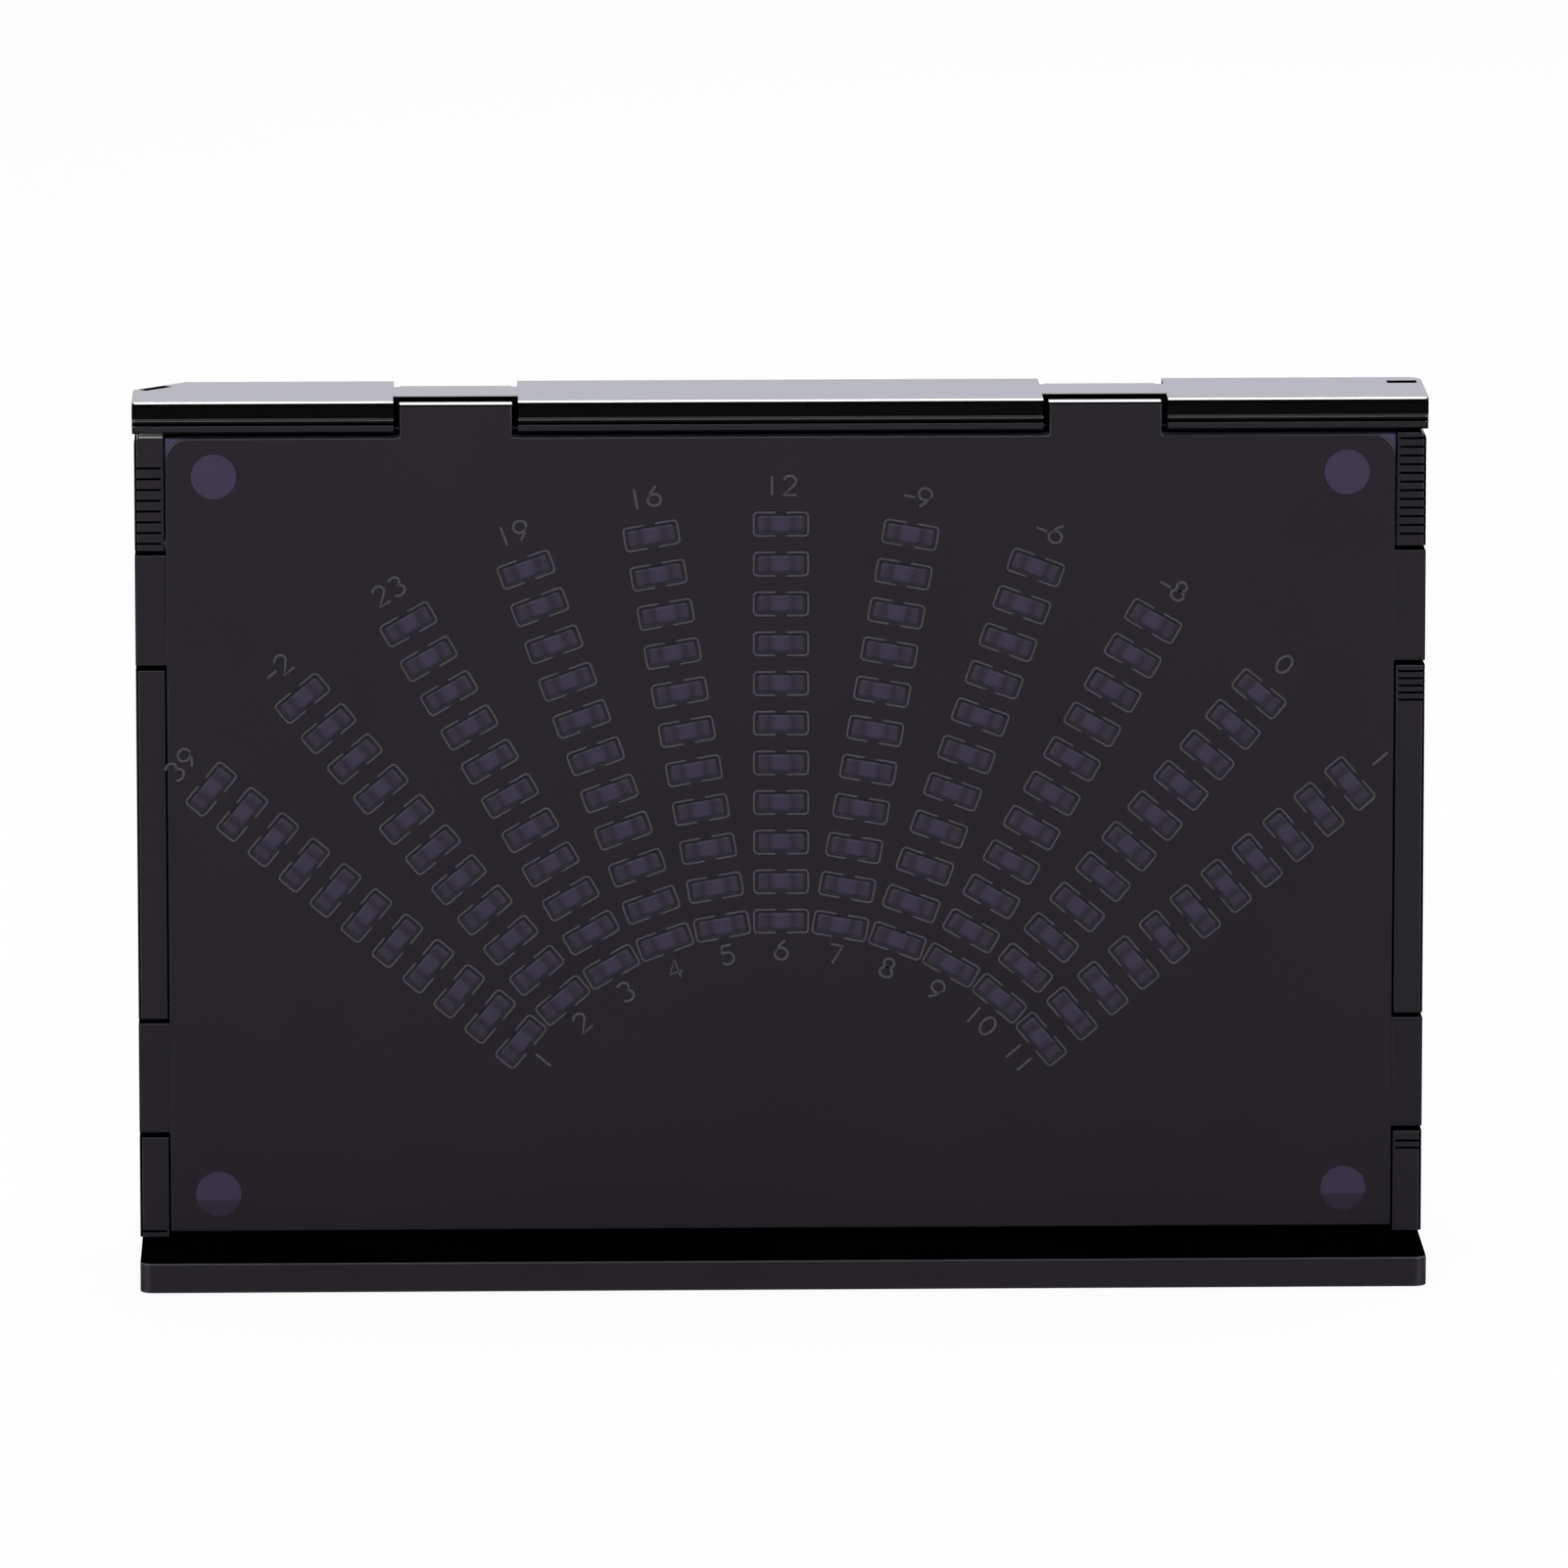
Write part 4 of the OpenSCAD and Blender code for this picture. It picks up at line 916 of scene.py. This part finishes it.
def door_dark(f):
    """The shade lines on the tabs' tops, the side tabs' ends, and the sides of the hinge tabs and the
    panel: faces for painted shade.
    """
    tab_shade_line = tab_top(f) & (f.y < FRONT_Y + TAB_SHADE_LINE)
    side_tab_end = (np.abs(f.nz) > SQUARE) & (f.x > PANEL_HIGH.x + 0.2 * MM)
    hinge_tab_side = (f.nx > SQUARE) & (f.z > PANEL_HIGH.z)
    panel_side = (f.nx > SQUARE) & (np.abs(f.x - PANEL_HIGH.x) < NEAR)
    return tab_shade_line | side_tab_end | hinge_tab_side | panel_side


# A painted highlight on the tabs' tops, behind their shade lines
paint_faces(door, painted_highlight_pale, lambda f: tab_top(f) & (f.y > FRONT_Y + TAB_SHADE_LINE))
# Painted shade on the shade lines, the side tabs' ends and the sides
paint_faces(door, painted_shade_black, door_dark)

# %% The side pieces
GRIP_FLOOR = GROOVE_D + TOUCH
GRIP_MARGIN = 0.3 * MM


def side_dark(piece):
    """A rule for a side piece: its ends, its inner side, and the grooves in its front and outside, for
    painted shade.
    """
    x = np.abs([vertex.co.x for vertex in piece.data.vertices])
    inner, outer = x.min(), x.max()

    def chosen(f):
        depth = f.y - FRONT_Y
        between = (f.x > inner + GRIP_MARGIN) & (f.x < outer - GRIP_MARGIN)
        front = (depth > NEAR) & (depth < GRIP_FLOOR) & between
        outside = (f.x > outer - GRIP_FLOOR) & (f.x < outer - NEAR) & (depth > GRIP_FLOOR)
        inside = (f.nx > SQUARE) & (f.x < inner + TOUCH)
        return (np.abs(f.nz) > SQUARE) | front | outside | inside

    return chosen


# Painted shade on the side pieces' ends, inner sides and grooves
for piece in side_pieces:
    paint_faces(piece, painted_shade_black, side_dark(piece))
# The left latch's top gets the same painted highlight as the tops of the hinge tabs
latch_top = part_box("latch_left")[1].z
paint_faces(side_pieces[0], painted_highlight_pale, lambda f: (f.nz > SQUARE) & (f.z > latch_top - NEAR))

# %% [markdown]
# ## Studio
# The floor and the room look white to the camera. Mirror rays meet another room, which is dark in front
# of the object, so that its upright black faces stay black. It is white behind the object and bright
# overhead, and two bright strips in front, left and right of the camera, light the rounded edges.
# Soft lamps give the rest of the light.

# %% Floor
FLOOR_HALF = 6.0
# The floor's glow for the camera and in mirrors, and the level of the dark part of the room
FLOOR_SHOWN, FLOOR_GLOW, DARK_ROOM = 0.916, 0.5, 0.02


def mix(tree, factor, first, second):
    """A shader that goes from the first to the second as the factor goes from 0 to 1."""
    return add_node(tree, "MixShader", {}, {0: factor, 1: first, 2: second}).outputs["Shader"]


def glowing_paint(tree, colour, glow):
    """Dull paint of the given hex colour that also glows white. The glow is a number or an output."""
    coat = add_node(tree, "BsdfDiffuse", {"Color": linear(colour)})
    settings = {"Color": (1, 1, 1, 1)}
    if isinstance(glow, (int, float)):
        light = add_node(tree, "Emission", settings | {"Strength": glow})
    else:
        light = add_node(tree, "Emission", settings, {"Strength": glow})
    both = {0: coat.outputs["BSDF"], 1: light.outputs["Emission"]}
    return add_node(tree, "AddShader", {}, both).outputs["Shader"]


def studio_floor():
    """A white floor. The camera sees a glow with a faint shadow on it. Mirrors see it dark in front of
    the object and glowing behind it. All other rays meet plain light paint."""
    material, tree, output = new_material("studio_floor")
    path = add_node(tree, "LightPath").outputs
    place = add_node(tree, "NewGeometry").outputs["Position"]
    split = add_node(tree, "SeparateXYZ", {}, {"Vector": place}).outputs
    # 0 behind the object, 1 in front of it
    reach = {"From Min": 0.1, "From Max": -0.06, "To Min": 0.0, "To Max": 1.0}
    front = add_node(tree, "MapRange", reach, {"Value": split["Y"]}).outputs["Result"]
    mirror = path["Is Glossy Ray"]
    dark = add_node(tree, "Math", {"operation": "MULTIPLY"}, {0: mirror, 1: front}).outputs["Value"]
    glow = add_node(tree, "Math", {"operation": "MULTIPLY", 1: FLOOR_GLOW}, {0: mirror}).outputs["Value"]
    black = add_node(tree, "Emission", {"Color": (1, 1, 1, 1), "Strength": DARK_ROOM})
    unseen = mix(tree, dark, glowing_paint(tree, "#c8c8c8", glow), black.outputs["Emission"])
    seen = glowing_paint(tree, "#444444", FLOOR_SHOWN)
    final = mix(tree, path["Is Camera Ray"], unseen, seen)
    tree.links.new(final, output.inputs["Surface"])
    return material


corners = np.array([(-1, -1, 0), (1, -1, 0), (1, 1, 0), (-1, 1, 0)]) * (FLOOR_HALF, FLOOR_HALF, 1)
mesh = bpy.data.meshes.new("floor")
mesh.from_pydata(corners.tolist(), [], [(0, 1, 2, 3)])
mesh.materials.append(studio_floor())
floor = bpy.data.objects.new("floor", mesh)
bpy.context.scene.collection.objects.link(floor)

# %% [markdown]
# The room is a world shader. Its direction is a unit vector: X is to the right, Y to the back and Z up,
# so a threshold of 0.42 along X is 25 degrees off the middle.

# %% Room
# Levels for mirror rays: behind the object, overhead, and in the two strips
BACKDROP, OVERHEAD, STRIP = 1.0, 5.0, 9.0
# The level that the camera sees, and the one that lights the object from all sides
SHOWN, SOFT_FILL = 0.992, 0.35
world = bpy.data.worlds.new("room")
bpy.context.scene.world = world
world.use_nodes = True
tree = world.node_tree
tree.nodes.clear()
path = add_node(tree, "LightPath").outputs
direction = add_node(tree, "TexCoord").outputs["Generated"]
split = add_node(tree, "SeparateXYZ", {}, {"Vector": direction}).outputs
width = add_node(tree, "Math", {"operation": "ABSOLUTE"}, {0: split["X"]}).outputs["Value"]


def ramp(value, start, end, low, high):
    """A value that goes smoothly from low to high while the input goes from start to end."""
    settings = {"interpolation_type": "SMOOTHSTEP"}
    settings |= {"From Min": start, "From Max": end, "To Min": low, "To Max": high}
    return add_node(tree, "MapRange", settings, {"Value": value}).outputs["Result"]


def combine(operation, first, second):
    """One calculation on two values, of which the second may be a plain number."""
    if isinstance(second, (int, float)):
        return add_node(tree, "Math", {"operation": operation, 1: second}, {0: first}).outputs["Value"]
    return add_node(tree, "Math", {"operation": operation}, {0: first, 1: second}).outputs["Value"]


backdrop = ramp(split["Y"], -0.1, 0.2, DARK_ROOM, BACKDROP)
above = ramp(split["Z"], 0.6, 0.75, 0.0, OVERHEAD)
overhead = combine("MULTIPLY", above, ramp(split["Y"], -0.4, -0.1, 0.0, 1.0))
strips = combine("MULTIPLY", ramp(width, 0.42, 0.55, 0.0, 1.0), ramp(width, 0.9, 0.98, STRIP, 0.0))
# The strips stand in front of the object only, so that the raised door hardly mirrors them when it is
# seen from the front. From behind and low, the raised door and the rail's top still mirror them.
strips = combine("MULTIPLY", strips, ramp(split["Y"], -0.1, 0.1, 1.0, 0.0))
brightest = combine("MAXIMUM", backdrop, combine("MAXIMUM", overhead, strips))
mirrored = combine("MULTIPLY", brightest, path["Is Glossy Ray"])
shown = combine("MAXIMUM", path["Is Camera Ray"], path["Is Transmission Ray"])
seen = combine("MAXIMUM", combine("MULTIPLY", shown, SHOWN), mirrored)
level = combine("MAXIMUM", seen, combine("MULTIPLY", path["Is Diffuse Ray"], SOFT_FILL))
sky = add_node(tree, "Background", {"Color": (1, 1, 1, 1)}, {"Strength": level})
output = add_node(tree, "OutputWorld")
tree.links.new(sky.outputs["Background"], output.inputs["Surface"])
world.cycles.sampling_method = "NONE"

# %% Lamps


def soft_lamp(name, place, aim, width, height, power):
    """A rectangular soft lamp that faces aim. Lengths are in metres and power is in watts."""
    lamp = bpy.data.lights.new(name, "AREA")
    lamp.shape = "RECTANGLE"
    lamp.size, lamp.size_y, lamp.energy = width, height, power
    holder = bpy.data.objects.new(name, lamp)
    holder.location = place
    holder.rotation_euler = (Vector(aim) - Vector(place)).to_track_quat("-Z", "Y").to_euler()
    bpy.context.scene.collection.objects.link(holder)


soft_lamp("front_lamp", (-0.5, -2.6, 1.8), (0, 0, 0.12), 2.2, 1.4, 60)
soft_lamp("top_lamp", (0.0, 0.2, 2.0), (0, 0, 0.1), 2.0, 1.4, 30)
soft_lamp("rear_lamp", (0.6, 2.4, 1.6), (0, 0, 0.12), 2.0, 1.4, 30)

view = bpy.context.scene.view_settings
view.view_transform = "Standard"
